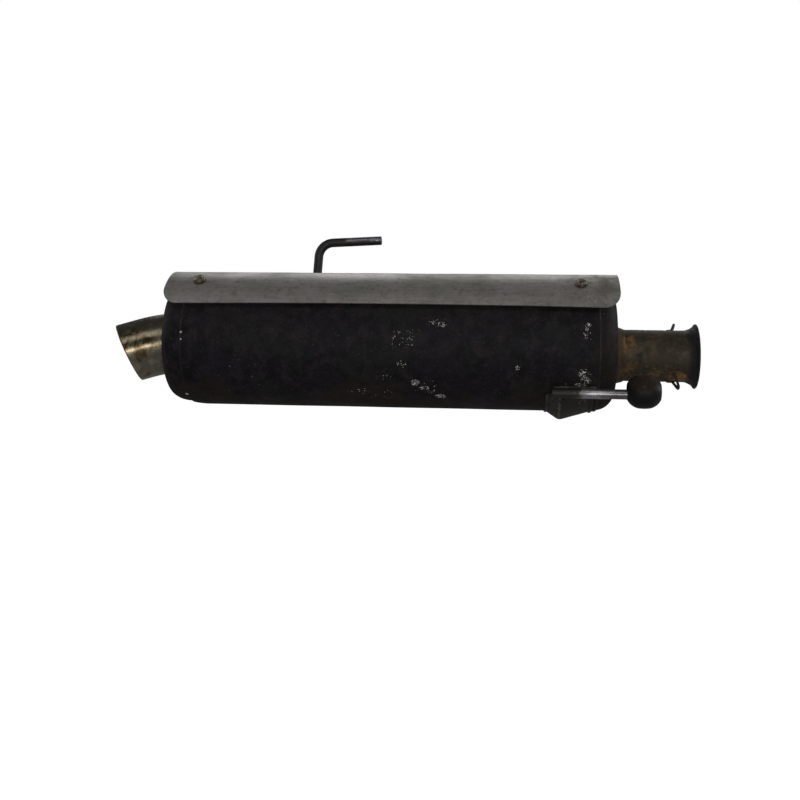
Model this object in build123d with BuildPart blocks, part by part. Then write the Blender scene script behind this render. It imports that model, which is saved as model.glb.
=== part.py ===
from build123d import *
import math
import os

# Exhaust muffler of a small off-road vehicle, as an assembly of its separate pieces, in millimetres.
# The origin is on the inlet pipe's axis, where its straight bore ends and its bell starts. +X points
# out of the inlet towards the header, +Z is up as the muffler hangs, and -Y is its outer side.

# ---- Driving dimensions ----------------------------------------------------------------------
# Can: a rolled body with a drawn cap lapped into each end.
can_z = 8.0  # height of the can's axis above the inlet pipe's axis
can_r = 64.0
can_wall = 1.5
can_front_x = -65.5
can_rear_x = -505.0
cap_wall = 1.5
skirt_lap = 10.0

front_corner_r = 19.0
front_skirt_r = can_r - can_wall
front_seam_x = -83.2

rear_flat_r = 50.0
rear_skirt_r = 61.0
rear_corner_length = 19.5
rear_seam_x = -483.7
body_taper_length = 15.0

# Inlet pipe with its bell, for a two-inch pipe.
inlet_r = 25.4
inlet_wall = 1.5
inlet_inner_x = -97.7
bell_start_x = 0.0
bell_angle = 51.6
bell_mid_r = 15.8
bell_lip_r = 1.1

collar_base_r = 28.0
collar_end_r = 25.9
collar_length = 8.8
collar_neck_length = 2.0

# Wire loops that hold the joint springs, one on each side of the inlet.
hook_wire_r = 1.3
hook_elevation = 58.0
hook_foot_x = -9.0
hook_tip_x = -5.3
hook_tip_r = 35.6
hook_foot_spread = 17.0
hook_tip_spread = 5.0
hook_bend_r = 2.4
hook_root_depth = 3.0

# Tail pipe: a straight run through the rear cap, a bend outside it, and a slash-cut mouth.
tail_r = 30.4
tail_wall = 1.5
tail_drop = 2.6  # below the can's axis, where it leaves the rear cap
tail_plane_turn = 20.0  # the bend's plane turns this far from straight down, towards -Y
tail_entry_angle = 7.4
tail_exit_angle = 17.5
tail_inner_run = 65.0
tail_outer_run = 5.0
tail_bend_r = 150.0
tail_end_run = 18.0
tail_trim_spare = 20.0
slash_tilt = 26.5
slash_turn = 10.5

# Heat shield over the top of the can, on four welded nuts.
shield_r = 70.2
shield_sheet = 1.2
shield_front_x = -64.2
shield_rear_x = -504.2
shield_edge_height = 36.6  # of the lower edge's ends above the can's axis
shield_edge_bow = 1.4
shield_corner_r = 15.0

screw_rear_x = -471.2
screw_front_x = -100.7
screw_angle = 33.0  # from straight up
screw_hole_r = 3.0
screw_shank_r = 2.4
screw_washer_r = 4.9
screw_washer_height = 0.6
screw_hex_width = 10.0
screw_hex_height = 3.2
screw_seat_gap = 0.02
screw_dish_r = 3.2
screw_dish_depth = 1.2
standoff_r = 6.5
standoff_hole_r = 2.45
standoff_floor = 0.6

# Hanger rods, three eighths of an inch thick.
rod_r = 4.75
rod_tip_chamfer = 1.2
weld_gap = 0.02  # between a rod and the surface that it is welded to

pad_sheet = 2.0
pad_width = 48.0
pad_height = 54.0
pad_corner_r = 8.0

top_rod_foot_x = -379.5
top_rod_foot_height = -22.0
top_rod_corner_x = -370.6
top_rod_corner_height = 105.9
top_rod_tip_x = -304.3
top_rod_tip_height = 109.5
top_rod_bend_r = 16.0

lower_rod_angle = 40.0  # below the horizontal, on the outer side
lower_rod_rear_x = -127.7
lower_rod_tip_x = -29.7

bracket_sheet = 2.5
bracket_rear_x = -131.2
bracket_ridge_x = -118.7
bracket_front_x = -89.2
bracket_ridge_r = 72.8
bracket_ridge_fillet = 4.0
bracket_start_angle = 44.6  # below the horizontal, just under the rod
bracket_arc = 53.0
bracket_root_depth = 6.0

isolator_r = 16.0
isolator_end_r = 7.9
isolator_mid_x = -41.9
isolator_half_length = 15.5
isolator_band_half = 2.5
isolator_lift = 2.9  # of the body's axis above the bore's
isolator_bore_r = 4.80

# Inside: a liner with packing behind it, three baffles and the tubes between the chambers.
liner_r = 59.5
liner_wall = 1.0
liner_front_x = -84.7
liner_rear_x = -473.7
packing_front_x = -95.7
packing_rear_x = -465.7

baffle_sheet = 1.5
baffle_rim_length = 10.0
front_baffle_x = -187.7
middle_baffle_x = -287.7
rear_baffle_x = -387.7

core_wall = 1.0
core_rows = 9  # of holes along each perforated core
core_row_pitch = 9.0
inlet_core_rear_x = -317.7
inlet_core_hole_r = 2.0
inlet_core_lines = 8  # of holes around the inlet core, an even number
resonator_mid_x = (front_baffle_x + middle_baffle_x - baffle_sheet) / 2

transfer_r = 14.0
transfer_wall = 1.2
transfer_offset = 42.0
transfer_angle = 15.0  # below the horizontal
transfer_front_x = -167.7
transfer_rear_x = -307.7

outlet_core_r = 17.0
outlet_core_height = 36.0
outlet_core_front_x = -137.7
outlet_core_rear_x = -417.7
outlet_core_hole_r = 1.75

screen_sheet = 0.8
screen_ring_wall = 1.5
screen_ring_length = 10.0
screen_ring_inset = 14.0  # of the ring's outer end, inside the rear cap's face
screen_length = 38.0
screen_end_r = 13.0
screen_hole_r = 1.5
screen_hole_rows = 5
screen_hole_columns = 12
screen_hole_pitch = 6.0

# ---- Shared frames ---------------------------------------------------------------------------
can_axis = Axis((0, 0, can_z), (1, 0, 0))
can_profile = Plane(origin=(0, 0, can_z), x_dir=(1, 0, 0), z_dir=(0, -1, 0))

turn = math.radians(tail_plane_turn)
tail_plane = Plane(
    origin=(can_rear_x, 0, can_z - tail_drop),
    x_dir=(-1, 0, 0),
    z_dir=(0, -math.cos(turn), math.sin(turn)),
)
entry = math.radians(tail_entry_angle)
leave = math.radians(tail_exit_angle)
tail_start = (-tail_inner_run, -tail_inner_run * math.tan(entry))
tail_bend_start = (tail_outer_run, tail_outer_run * math.tan(entry))
tail_bend_end = (
    tail_bend_start[0] + tail_bend_r * (math.sin(leave) - math.sin(entry)),
    tail_bend_start[1] + tail_bend_r * (math.cos(entry) - math.cos(leave)),
)
tail_mouth = (
    tail_bend_end[0] + tail_end_run * math.cos(leave),
    tail_bend_end[1] + tail_end_run * math.sin(leave),
)
tail_spare_end = (
    tail_mouth[0] + tail_trim_spare * math.cos(leave),
    tail_mouth[1] + tail_trim_spare * math.sin(leave),
)
# The frame of the straight run through the rear cap, with Z along the pipe and out of the can.
tail_run_plane = Plane(
    origin=tail_plane.from_local_coords(tail_start),
    z_dir=tail_plane.from_local_coords(tail_bend_start) - tail_plane.from_local_coords(tail_start),
)
tail_run_length = math.hypot(
    tail_bend_start[0] - tail_start[0], tail_bend_start[1] - tail_start[1]
)

lower_rod_reach = can_r + rod_r + weld_gap
lower_rod_y = -lower_rod_reach * math.cos(math.radians(lower_rod_angle))
lower_rod_z = can_z - lower_rod_reach * math.sin(math.radians(lower_rod_angle))

screw_lean = math.radians(screw_angle)
screw_planes = []
for screw_x in (screw_rear_x, screw_front_x):
    for side in (-1, 1):
        screw_planes.append(
            Plane(
                origin=(screw_x, 0, can_z),
                x_dir=(1, 0, 0),
                z_dir=(0, side * math.sin(screw_lean), math.cos(screw_lean)),
            )
        )

os.makedirs("parts", exist_ok=True)

# ---- Can -------------------------------------------------------------------------------------
# The body tube narrows at the rear, where it closes onto the rear cap's skirt.
with BuildPart() as body_shell:
    with BuildSketch(can_profile):
        with BuildLine():
            shell_top = Line((front_seam_x, can_r), (rear_seam_x + body_taper_length, can_r))
            shell_taper = TangentArc(
                shell_top @ 1, (rear_seam_x, rear_skirt_r + can_wall), tangent=(-1, 0)
            )
            Line(shell_taper @ 1, (rear_seam_x, rear_skirt_r))
            shell_inner_taper = TangentArc(
                (rear_seam_x + body_taper_length, can_r - can_wall),
                (rear_seam_x, rear_skirt_r),
                tangent=(-1, 0),
            )
            Line(shell_inner_taper @ 0, (front_seam_x, can_r - can_wall))
            Line((front_seam_x, can_r - can_wall), (front_seam_x, can_r))
        make_face()
    revolve(axis=can_axis)
body_shell.part.label = "body_shell"
export_step(body_shell.part, "parts/body_shell.step")

# The same body without its hollow, to trim what is welded onto it.
with BuildPart() as can_envelope:
    with BuildSketch(can_profile):
        with BuildLine():
            envelope_top = Line((front_seam_x, can_r), (rear_seam_x + body_taper_length, can_r))
            envelope_taper = TangentArc(
                envelope_top @ 1, (rear_seam_x, rear_skirt_r + can_wall), tangent=(-1, 0)
            )
            Polyline(envelope_taper @ 1, (rear_seam_x, 0), (front_seam_x, 0), (front_seam_x, can_r))
        make_face()
    revolve(axis=can_axis)

# Front cap: a flat drawn dish with a round corner, its skirt lapped inside the body tube.
with BuildPart() as front_end_cap:
    with BuildSketch(can_profile):
        with BuildLine():
            cap_rear_x = front_seam_x - skirt_lap
            cap_face = FilletPolyline(
                (can_front_x, 0),
                (can_front_x, front_skirt_r),
                (cap_rear_x, front_skirt_r),
                radius=front_corner_r,
            )
            cap_inside = FilletPolyline(
                (can_front_x - cap_wall, 0),
                (can_front_x - cap_wall, front_skirt_r - cap_wall),
                (cap_rear_x, front_skirt_r - cap_wall),
                radius=front_corner_r - cap_wall,
            )
            Line(cap_face @ 0, cap_inside @ 0)
            Line(cap_face @ 1, cap_inside @ 1)
        make_face()
    revolve(axis=can_axis)
    with BuildSketch(Plane.YZ.offset(can_front_x)):
        Circle(inlet_r)
    extrude(amount=cap_wall, both=True, mode=Mode.SUBTRACT)
front_end_cap.part.label = "front_end_cap"
export_step(front_end_cap.part, "parts/front_end_cap.step")

# Rear cap: a deeper dish with an elliptical corner, pierced for the tail pipe.
with BuildPart() as rear_end_cap:
    with BuildSketch(can_profile):
        with BuildLine():
            rear_corner_x = can_rear_x + rear_corner_length
            rear_skirt_x = rear_seam_x + skirt_lap
            EllipticalCenterArc(
                (rear_corner_x, rear_flat_r),
                rear_corner_length,
                rear_skirt_r - rear_flat_r,
                start_angle=90,
                arc_size=90,
            )
            EllipticalCenterArc(
                (rear_corner_x, rear_flat_r),
                rear_corner_length - cap_wall,
                rear_skirt_r - rear_flat_r - cap_wall,
                start_angle=90,
                arc_size=90,
            )
            Line((can_rear_x, rear_flat_r), (can_rear_x, 0))
            Line((can_rear_x, 0), (can_rear_x + cap_wall, 0))
            Line((can_rear_x + cap_wall, 0), (can_rear_x + cap_wall, rear_flat_r))
            Line((rear_corner_x, rear_skirt_r), (rear_skirt_x, rear_skirt_r))
            Line((rear_skirt_x, rear_skirt_r), (rear_skirt_x, rear_skirt_r - cap_wall))
            Line((rear_skirt_x, rear_skirt_r - cap_wall), (rear_corner_x, rear_skirt_r - cap_wall))
        make_face()
    revolve(axis=can_axis)
    with BuildSketch(tail_run_plane):
        Circle(tail_r)
    extrude(amount=tail_run_length, mode=Mode.SUBTRACT)
rear_end_cap.part.label = "rear_end_cap"
export_step(rear_end_cap.part, "parts/rear_end_cap.step")

# ---- Inlet -----------------------------------------------------------------------------------
# From X = 0 the pipe's wall turns outwards through the bell's angle and ends in a rounded lip.
bell_turn = math.radians(bell_angle)
bell_centre_r = inlet_r - inlet_wall / 2 + bell_mid_r
with BuildPart() as inlet_pipe:
    with BuildSketch(Plane.XZ):
        with Locations(((inlet_inner_x + bell_start_x) / 2, inlet_r - inlet_wall / 2)):
            Rectangle(bell_start_x - inlet_inner_x, inlet_wall)
        with BuildLine():
            bell_outside = CenterArc(
                (bell_start_x, bell_centre_r), bell_mid_r - inlet_wall / 2, -90, bell_angle
            )
            bell_inside = CenterArc(
                (bell_start_x, bell_centre_r), bell_mid_r + inlet_wall / 2, -90, bell_angle
            )
            Line(bell_outside @ 0, bell_inside @ 0)
            Line(bell_outside @ 1, bell_inside @ 1)
        make_face()
        with Locations(
            (
                bell_start_x + bell_mid_r * math.sin(bell_turn),
                bell_centre_r - bell_mid_r * math.cos(bell_turn),
            )
        ):
            Circle(bell_lip_r)
    revolve(axis=Axis.X)
inlet_pipe.part.label = "inlet_pipe"
export_step(inlet_pipe.part, "parts/inlet_pipe.step")

# A tapered collar seats the pipe against the front cap.
with BuildPart() as inlet_collar:
    with BuildSketch(Plane.XZ):
        with BuildLine():
            Polyline(
                (can_front_x, inlet_r),
                (can_front_x, collar_base_r),
                (can_front_x + collar_neck_length, collar_base_r),
                (can_front_x + collar_length, collar_end_r),
                (can_front_x + collar_length, inlet_r),
                close=True,
            )
        make_face()
    revolve(axis=Axis.X)
inlet_collar.part.label = "inlet_collar"
export_step(inlet_collar.part, "parts/inlet_collar.step")

# Each spring loop is a bent wire whose two feet stand on the pipe and whose tip leans to the bell.
hook_lean = math.hypot(hook_tip_x - hook_foot_x, hook_tip_r - inlet_r)
hook_rise = math.radians(hook_elevation)
for hook_name, hook_side in (("spring_hook_lower", -1), ("spring_hook_upper", 1)):
    hook_out = Vector(0, hook_side * math.cos(hook_rise), hook_side * math.sin(hook_rise))
    hook_along = Vector(0, -hook_out.Z, hook_out.Y)
    hook_foot = Vector(hook_foot_x, 0, 0) + hook_out * inlet_r
    hook_tip = Vector(hook_tip_x, 0, 0) + hook_out * hook_tip_r
    hook_plane = Plane(
        origin=hook_foot, x_dir=hook_along, z_dir=hook_along.cross(hook_tip - hook_foot)
    )
    with BuildPart() as spring_hook:
        with BuildLine(hook_plane):
            hook_wire = FilletPolyline(
                (-hook_foot_spread / 2, -hook_root_depth),
                (-hook_tip_spread / 2, hook_lean),
                (hook_tip_spread / 2, hook_lean),
                (hook_foot_spread / 2, -hook_root_depth),
                radius=hook_bend_r,
            )
        with BuildSketch(Plane(origin=hook_wire @ 0, z_dir=hook_wire % 0)):
            Circle(hook_wire_r)
        sweep()
        with BuildSketch(Plane.YZ.offset(bell_start_x)):
            Circle(inlet_r)
        extrude(amount=inlet_inner_x, mode=Mode.SUBTRACT)
    spring_hook.part.label = hook_name
    export_step(spring_hook.part, "parts/" + hook_name + ".step")

# ---- Tail pipe -------------------------------------------------------------------------------
slash_lean = math.radians(slash_tilt)
slash_yaw = math.radians(slash_turn)
with BuildPart() as tail_pipe:
    with BuildLine(tail_plane):
        tail_entry_line = Line(tail_start, tail_bend_start)
        TangentArc(tail_bend_start, tail_bend_end, tangent=tail_entry_line % 1)
        Line(tail_bend_end, tail_spare_end)
    with BuildSketch(tail_run_plane):
        Circle(tail_r)
        Circle(tail_r - tail_wall, mode=Mode.SUBTRACT)
    sweep()
    split(
        bisect_by=Plane(
            origin=tail_plane.from_local_coords(tail_mouth),
            z_dir=(
                math.cos(slash_lean) * math.cos(slash_yaw),
                math.sin(slash_yaw),
                math.sin(slash_lean) * math.cos(slash_yaw),
            ),
        ),
        keep=Keep.TOP,
    )
tail_pipe.part.label = "tail_pipe"
export_step(tail_pipe.part, "parts/tail_pipe.step")

# ---- Heat shield and its fastenings ----------------------------------------------------------
shield_low_z = can_z + shield_edge_height
shield_mid_x = (shield_front_x + shield_rear_x) / 2
with BuildPart() as heat_shield:
    with BuildSketch(Plane.YZ.offset(shield_rear_x)):
        with Locations((0, can_z)):
            Circle(shield_r)
            Circle(shield_r - shield_sheet, mode=Mode.SUBTRACT)
    extrude(amount=shield_front_x - shield_rear_x)
    with BuildSketch(Plane.XZ) as shield_outline:
        with BuildLine():
            shield_low_edge = ThreePointArc(
                (shield_rear_x, shield_low_z),
                (shield_mid_x, shield_low_z + shield_edge_bow),
                (shield_front_x, shield_low_z),
            )
            Polyline(
                shield_low_edge @ 1,
                (shield_front_x, can_z + 2 * shield_r),
                (shield_rear_x, can_z + 2 * shield_r),
                shield_low_edge @ 0,
            )
        make_face()
        shield_corners = shield_outline.vertices().group_by(Axis.Y)[0]
        fillet(shield_corners, radius=shield_corner_r)
    extrude(amount=2 * shield_r, both=True, mode=Mode.INTERSECT)
    with BuildSketch(*screw_planes):
        Circle(screw_hole_r)
    extrude(amount=2 * shield_r, mode=Mode.SUBTRACT)
heat_shield.part.label = "heat_shield"
export_step(heat_shield.part, "parts/heat_shield.step")

# Hex screws with a washer face, dished in the head as cold-headed screws are.
screw_seat_planes = [plane.offset(shield_r + screw_seat_gap) for plane in screw_planes]
screw_top = screw_washer_height + screw_hex_height
screw_dish_planes = [plane.offset(screw_top - screw_dish_depth) for plane in screw_seat_planes]
screw_reach = shield_r + screw_seat_gap - can_r - 2 * standoff_floor
with BuildPart() as shield_screws:
    with BuildSketch(*screw_seat_planes):
        Circle(screw_washer_r)
    extrude(amount=screw_washer_height)
    with BuildSketch(*screw_seat_planes):
        RegularPolygon(screw_hex_width / 2, side_count=6, major_radius=False)
    extrude(amount=screw_top)
    with BuildSketch(*screw_dish_planes):
        Circle(screw_dish_r)
    extrude(amount=screw_dish_depth, mode=Mode.SUBTRACT)
    with BuildSketch(*screw_seat_planes):
        Circle(screw_shank_r)
    extrude(amount=-screw_reach)
shield_screws.part.label = "shield_screws"
export_step(shield_screws.part, "parts/shield_screws.step")

# Round weld nuts fill the space between the can and the shield.
standoff_root_planes = [plane.offset(can_r - standoff_r) for plane in screw_planes]
standoff_floor_planes = [plane.offset(can_r + standoff_floor) for plane in screw_planes]
with BuildPart() as shield_standoffs:
    with BuildSketch(*standoff_root_planes):
        Circle(standoff_r)
    extrude(amount=2 * standoff_r)
    with BuildSketch(*standoff_floor_planes):
        Circle(standoff_hole_r)
    extrude(amount=standoff_r, mode=Mode.SUBTRACT)
    with BuildSketch(Plane.YZ.offset(shield_rear_x)):
        with Locations((0, can_z)):
            Circle(shield_r - shield_sheet)
    extrude(amount=shield_front_x - shield_rear_x, mode=Mode.INTERSECT)
    add(can_envelope.part, mode=Mode.SUBTRACT)
shield_standoffs.part.label = "shield_standoffs"
export_step(shield_standoffs.part, "parts/shield_standoffs.step")

# ---- Hangers ---------------------------------------------------------------------------------
# A saddle pad spreads the top rod's load over the inner side of the can.
with BuildPart() as top_hanger_pad:
    with BuildSketch(Plane.YZ.offset(top_rod_foot_x - pad_width / 2)):
        with Locations((0, can_z)):
            Circle(can_r + pad_sheet)
            Circle(can_r, mode=Mode.SUBTRACT)
    extrude(amount=pad_width)
    with BuildSketch(Plane.XZ):
        with Locations((top_rod_foot_x, can_z)):
            RectangleRounded(pad_width, pad_height, pad_corner_r)
    extrude(amount=-2 * can_r, mode=Mode.INTERSECT)
top_hanger_pad.part.label = "top_hanger_pad"
export_step(top_hanger_pad.part, "parts/top_hanger_pad.step")

# The top rod runs up the inner side, then bends forward over the heat shield.
top_rod_y = can_r + pad_sheet + rod_r + weld_gap
top_rod_plane = Plane(origin=(0, top_rod_y, can_z), x_dir=(1, 0, 0), z_dir=(0, -1, 0))
with BuildPart() as top_hanger_rod:
    with BuildLine(top_rod_plane):
        top_rod_line = FilletPolyline(
            (top_rod_foot_x, top_rod_foot_height),
            (top_rod_corner_x, top_rod_corner_height),
            (top_rod_tip_x, top_rod_tip_height),
            radius=top_rod_bend_r,
        )
    with BuildSketch(Plane(origin=top_rod_line @ 0, z_dir=top_rod_line % 0)):
        Circle(rod_r)
    sweep()
    top_rod_end = top_hanger_rod.faces().sort_by(Axis.X)[-1]
    chamfer(top_rod_end.edges(), length=rod_tip_chamfer)
top_hanger_rod.part.label = "top_hanger_rod"
export_step(top_hanger_rod.part, "parts/top_hanger_rod.step")

# The lower rod lies along the can's outer side and passes under the inlet pipe.
with BuildPart() as lower_hanger_rod:
    with BuildSketch(Plane.YZ.offset(lower_rod_rear_x)):
        with Locations((lower_rod_y, lower_rod_z)):
            Circle(rod_r)
    extrude(amount=lower_rod_tip_x - lower_rod_rear_x)
    lower_rod_end = lower_hanger_rod.faces().sort_by(Axis.X)[-1]
    chamfer(lower_rod_end.edges(), length=rod_tip_chamfer)
lower_hanger_rod.part.label = "lower_hanger_rod"
export_step(lower_hanger_rod.part, "parts/lower_hanger_rod.step")

# A folded sheet gusset, bent round the can from the lower rod to past its lowest line.
gusset_start = math.radians(bracket_start_angle)
gusset_plane = Plane(
    origin=(0, 0, can_z),
    x_dir=(1, 0, 0),
    z_dir=(0, math.sin(gusset_start), -math.cos(gusset_start)),
)
rear_slope = (bracket_ridge_r - can_r) / (bracket_ridge_x - bracket_rear_x)
front_slope = (bracket_ridge_r - can_r) / (bracket_front_x - bracket_ridge_x)
gusset_root_r = can_r - bracket_root_depth
with BuildPart() as lower_hanger_bracket:
    with BuildSketch(gusset_plane):
        with BuildLine():
            Polyline(
                (bracket_rear_x - bracket_root_depth / rear_slope, gusset_root_r),
                (bracket_ridge_x, bracket_ridge_r),
                (bracket_front_x + bracket_root_depth / front_slope, gusset_root_r),
                close=True,
            )
        gusset_face = make_face()
        gusset_ridge = gusset_face.vertices().sort_by(Axis.Y)[-1]
        fillet(gusset_ridge, radius=bracket_ridge_fillet)
        offset(amount=-bracket_sheet, mode=Mode.SUBTRACT)
        with Locations(((bracket_rear_x + bracket_front_x) / 2, can_r / 2)):
            Rectangle(4 * can_r, can_r, mode=Mode.SUBTRACT)
    revolve(axis=can_axis, revolution_arc=bracket_arc)
lower_hanger_bracket.part.label = "lower_hanger_bracket"
export_step(lower_hanger_bracket.part, "parts/lower_hanger_bracket.step")

# Rubber isolator on the lower rod, with its bore below its middle.
isolator_z = lower_rod_z + isolator_lift
isolator_middle = (isolator_mid_x, lower_rod_y, isolator_z)
isolator_profile = Plane(origin=isolator_middle, x_dir=(1, 0, 0), z_dir=(0, -1, 0))
with BuildPart() as lower_isolator:
    with BuildSketch(isolator_profile):
        with BuildLine():
            isolator_band = Line((-isolator_band_half, isolator_r), (isolator_band_half, isolator_r))
            isolator_front = TangentArc(
                isolator_band @ 1, (isolator_half_length, isolator_end_r), tangent=(1, 0)
            )
            isolator_rear = TangentArc(
                isolator_band @ 0, (-isolator_half_length, isolator_end_r), tangent=(-1, 0)
            )
            Polyline(
                isolator_front @ 1,
                (isolator_half_length, 0),
                (-isolator_half_length, 0),
                isolator_rear @ 1,
            )
        make_face()
    revolve(axis=Axis(isolator_middle, (1, 0, 0)))
    with BuildSketch(Plane.YZ.offset(isolator_mid_x)):
        with Locations((lower_rod_y, lower_rod_z)):
            Circle(isolator_bore_r)
    extrude(amount=isolator_half_length, both=True, mode=Mode.SUBTRACT)
lower_isolator.part.label = "lower_isolator"
export_step(lower_isolator.part, "parts/lower_isolator.step")

# ---- Inside the can --------------------------------------------------------------------------
with BuildPart() as inner_liner:
    with BuildSketch(Plane.YZ.offset(liner_rear_x)):
        with Locations((0, can_z)):
            Circle(liner_r)
            Circle(liner_r - liner_wall, mode=Mode.SUBTRACT)
    extrude(amount=liner_front_x - liner_rear_x)
inner_liner.part.label = "inner_liner"
export_step(inner_liner.part, "parts/inner_liner.step")

with BuildPart() as body_packing:
    with BuildSketch(Plane.YZ.offset(packing_rear_x)):
        with Locations((0, can_z)):
            Circle(can_r - can_wall)
            Circle(liner_r, mode=Mode.SUBTRACT)
    extrude(amount=packing_front_x - packing_rear_x)
body_packing.part.label = "body_packing"
export_step(body_packing.part, "parts/body_packing.step")

# Flanged baffles divide the liner into four chambers. The rear one carries the outlet core alone.
transfer_low = math.radians(transfer_angle)
transfer_y = transfer_offset * math.cos(transfer_low)
transfer_z = can_z - transfer_offset * math.sin(transfer_low)
outlet_core_z = can_z + outlet_core_height
baffle_r = liner_r - liner_wall
for baffle_name, baffle_x, tubes_through in (
    ("front_baffle", front_baffle_x, True),
    ("middle_baffle", middle_baffle_x, True),
    ("rear_baffle", rear_baffle_x, False),
):
    with BuildPart() as baffle:
        with BuildSketch(Plane.YZ.offset(baffle_x)):
            with Locations((0, can_z)):
                Circle(baffle_r)
        extrude(amount=-baffle_sheet)
        with BuildSketch(Plane.YZ.offset(baffle_x)):
            with Locations((0, can_z)):
                Circle(baffle_r)
                Circle(baffle_r - baffle_sheet, mode=Mode.SUBTRACT)
        extrude(amount=baffle_rim_length)
        with BuildSketch(Plane.YZ.offset(baffle_x)):
            with Locations((0, outlet_core_z)):
                Circle(outlet_core_r)
            if tubes_through:
                Circle(inlet_r)
                with Locations((transfer_y, transfer_z), (-transfer_y, transfer_z)):
                    Circle(transfer_r)
        extrude(amount=-baffle_sheet, mode=Mode.SUBTRACT)
    baffle.part.label = baffle_name
    export_step(baffle.part, "parts/" + baffle_name + ".step")

# The inlet core carries the gas on from the inlet pipe, past the resonator chamber.
inlet_core_plane = Plane(origin=(resonator_mid_x, 0, 0), x_dir=(1, 0, 0), z_dir=(0, 0, 1))
inlet_core_planes = [
    inlet_core_plane.rotated((360 * line / inlet_core_lines, 0, 0))
    for line in range(inlet_core_lines // 2)
]
with BuildPart() as inlet_core:
    with BuildSketch(Plane.YZ.offset(inlet_core_rear_x)):
        Circle(inlet_r)
        Circle(inlet_r - core_wall, mode=Mode.SUBTRACT)
    extrude(amount=inlet_inner_x - inlet_core_rear_x)
    with BuildSketch(*inlet_core_planes):
        with GridLocations(core_row_pitch, 0, core_rows, 1):
            Circle(inlet_core_hole_r)
    extrude(amount=2 * inlet_r, both=True, mode=Mode.SUBTRACT)
inlet_core.part.label = "inlet_core"
export_step(inlet_core.part, "parts/inlet_core.step")

# Two transfer tubes bring the gas back to the front chamber.
for tube_name, tube_side in (("transfer_tube_outer", -1), ("transfer_tube_inner", 1)):
    with BuildPart() as transfer_tube:
        with BuildSketch(Plane.YZ.offset(transfer_rear_x)):
            with Locations((tube_side * transfer_y, transfer_z)):
                Circle(transfer_r)
                Circle(transfer_r - transfer_wall, mode=Mode.SUBTRACT)
        extrude(amount=transfer_front_x - transfer_rear_x)
    transfer_tube.part.label = tube_name
    export_step(transfer_tube.part, "parts/" + tube_name + ".step")

# The outlet core takes it from the front chamber to the rear one, where the tail pipe starts.
outlet_core_middle = (resonator_mid_x, 0, outlet_core_z)
with BuildPart() as outlet_core:
    with BuildSketch(Plane.YZ.offset(outlet_core_rear_x)):
        with Locations((0, outlet_core_z)):
            Circle(outlet_core_r)
            Circle(outlet_core_r - core_wall, mode=Mode.SUBTRACT)
    extrude(amount=outlet_core_front_x - outlet_core_rear_x)
    with BuildSketch(
        Plane(origin=outlet_core_middle, x_dir=(1, 0, 0), z_dir=(0, 0, 1)),
        Plane(origin=outlet_core_middle, x_dir=(1, 0, 0), z_dir=(0, 1, 0)),
    ):
        with GridLocations(core_row_pitch, 0, core_rows, 1):
            Circle(outlet_core_hole_r)
    extrude(amount=2 * outlet_core_r, both=True, mode=Mode.SUBTRACT)
outlet_core.part.label = "outlet_core"
export_step(outlet_core.part, "parts/outlet_core.step")

# ---- Spark screen, inside the tail pipe's straight run ----------------------------------------
screen_ring_top = tail_inner_run / math.cos(entry) - screen_ring_inset
screen_ring_base = screen_ring_top - screen_ring_length
screen_ring_r = tail_r - tail_wall
with BuildPart() as spark_screen_ring:
    with BuildSketch(tail_run_plane.offset(screen_ring_base)):
        Circle(screen_ring_r)
        Circle(screen_ring_r - screen_ring_wall, mode=Mode.SUBTRACT)
    extrude(amount=screen_ring_length)
spark_screen_ring.part.label = "spark_screen_ring"
export_step(spark_screen_ring.part, "parts/spark_screen_ring.step")

# The screen is a closed cone that narrows upstream from the ring.
screen_hole_step = 360 / screen_hole_columns
screen_base_r = screen_ring_r - screen_ring_wall
screen_tip = screen_ring_base - screen_length
screen_mid = screen_ring_base - screen_length / 2
screen_axis = Axis((0, 0, 0), tail_run_plane.z_dir)
with BuildPart() as spark_screen:
    with BuildSketch(tail_run_plane.offset(screen_ring_top)):
        Circle(screen_base_r)
    extrude(amount=-screen_ring_length)
    with BuildSketch(tail_run_plane.offset(screen_ring_base)):
        Circle(screen_base_r)
    with BuildSketch(tail_run_plane.offset(screen_tip)):
        Circle(screen_end_r)
    loft()
    screen_mouth = spark_screen.faces().sort_by(Axis.X)[0]
    offset(amount=-screen_sheet, openings=screen_mouth)
    with BuildSketch(
        *[
            Plane(
                origin=tail_run_plane.from_local_coords((0, 0, screen_mid)),
                x_dir=tail_run_plane.z_dir,
                z_dir=tail_run_plane.x_dir.rotate(screen_axis, screen_hole_step * column),
            )
            for column in range(screen_hole_columns)
        ]
    ):
        with GridLocations(screen_hole_pitch, 0, screen_hole_rows, 1):
            Circle(screen_hole_r)
    extrude(amount=screen_ring_r, mode=Mode.SUBTRACT)
spark_screen.part.label = "spark_screen"
export_step(spark_screen.part, "parts/spark_screen.step")
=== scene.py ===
import math

import bmesh
import bpy
from mathutils import Matrix, Vector, noise


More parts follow.
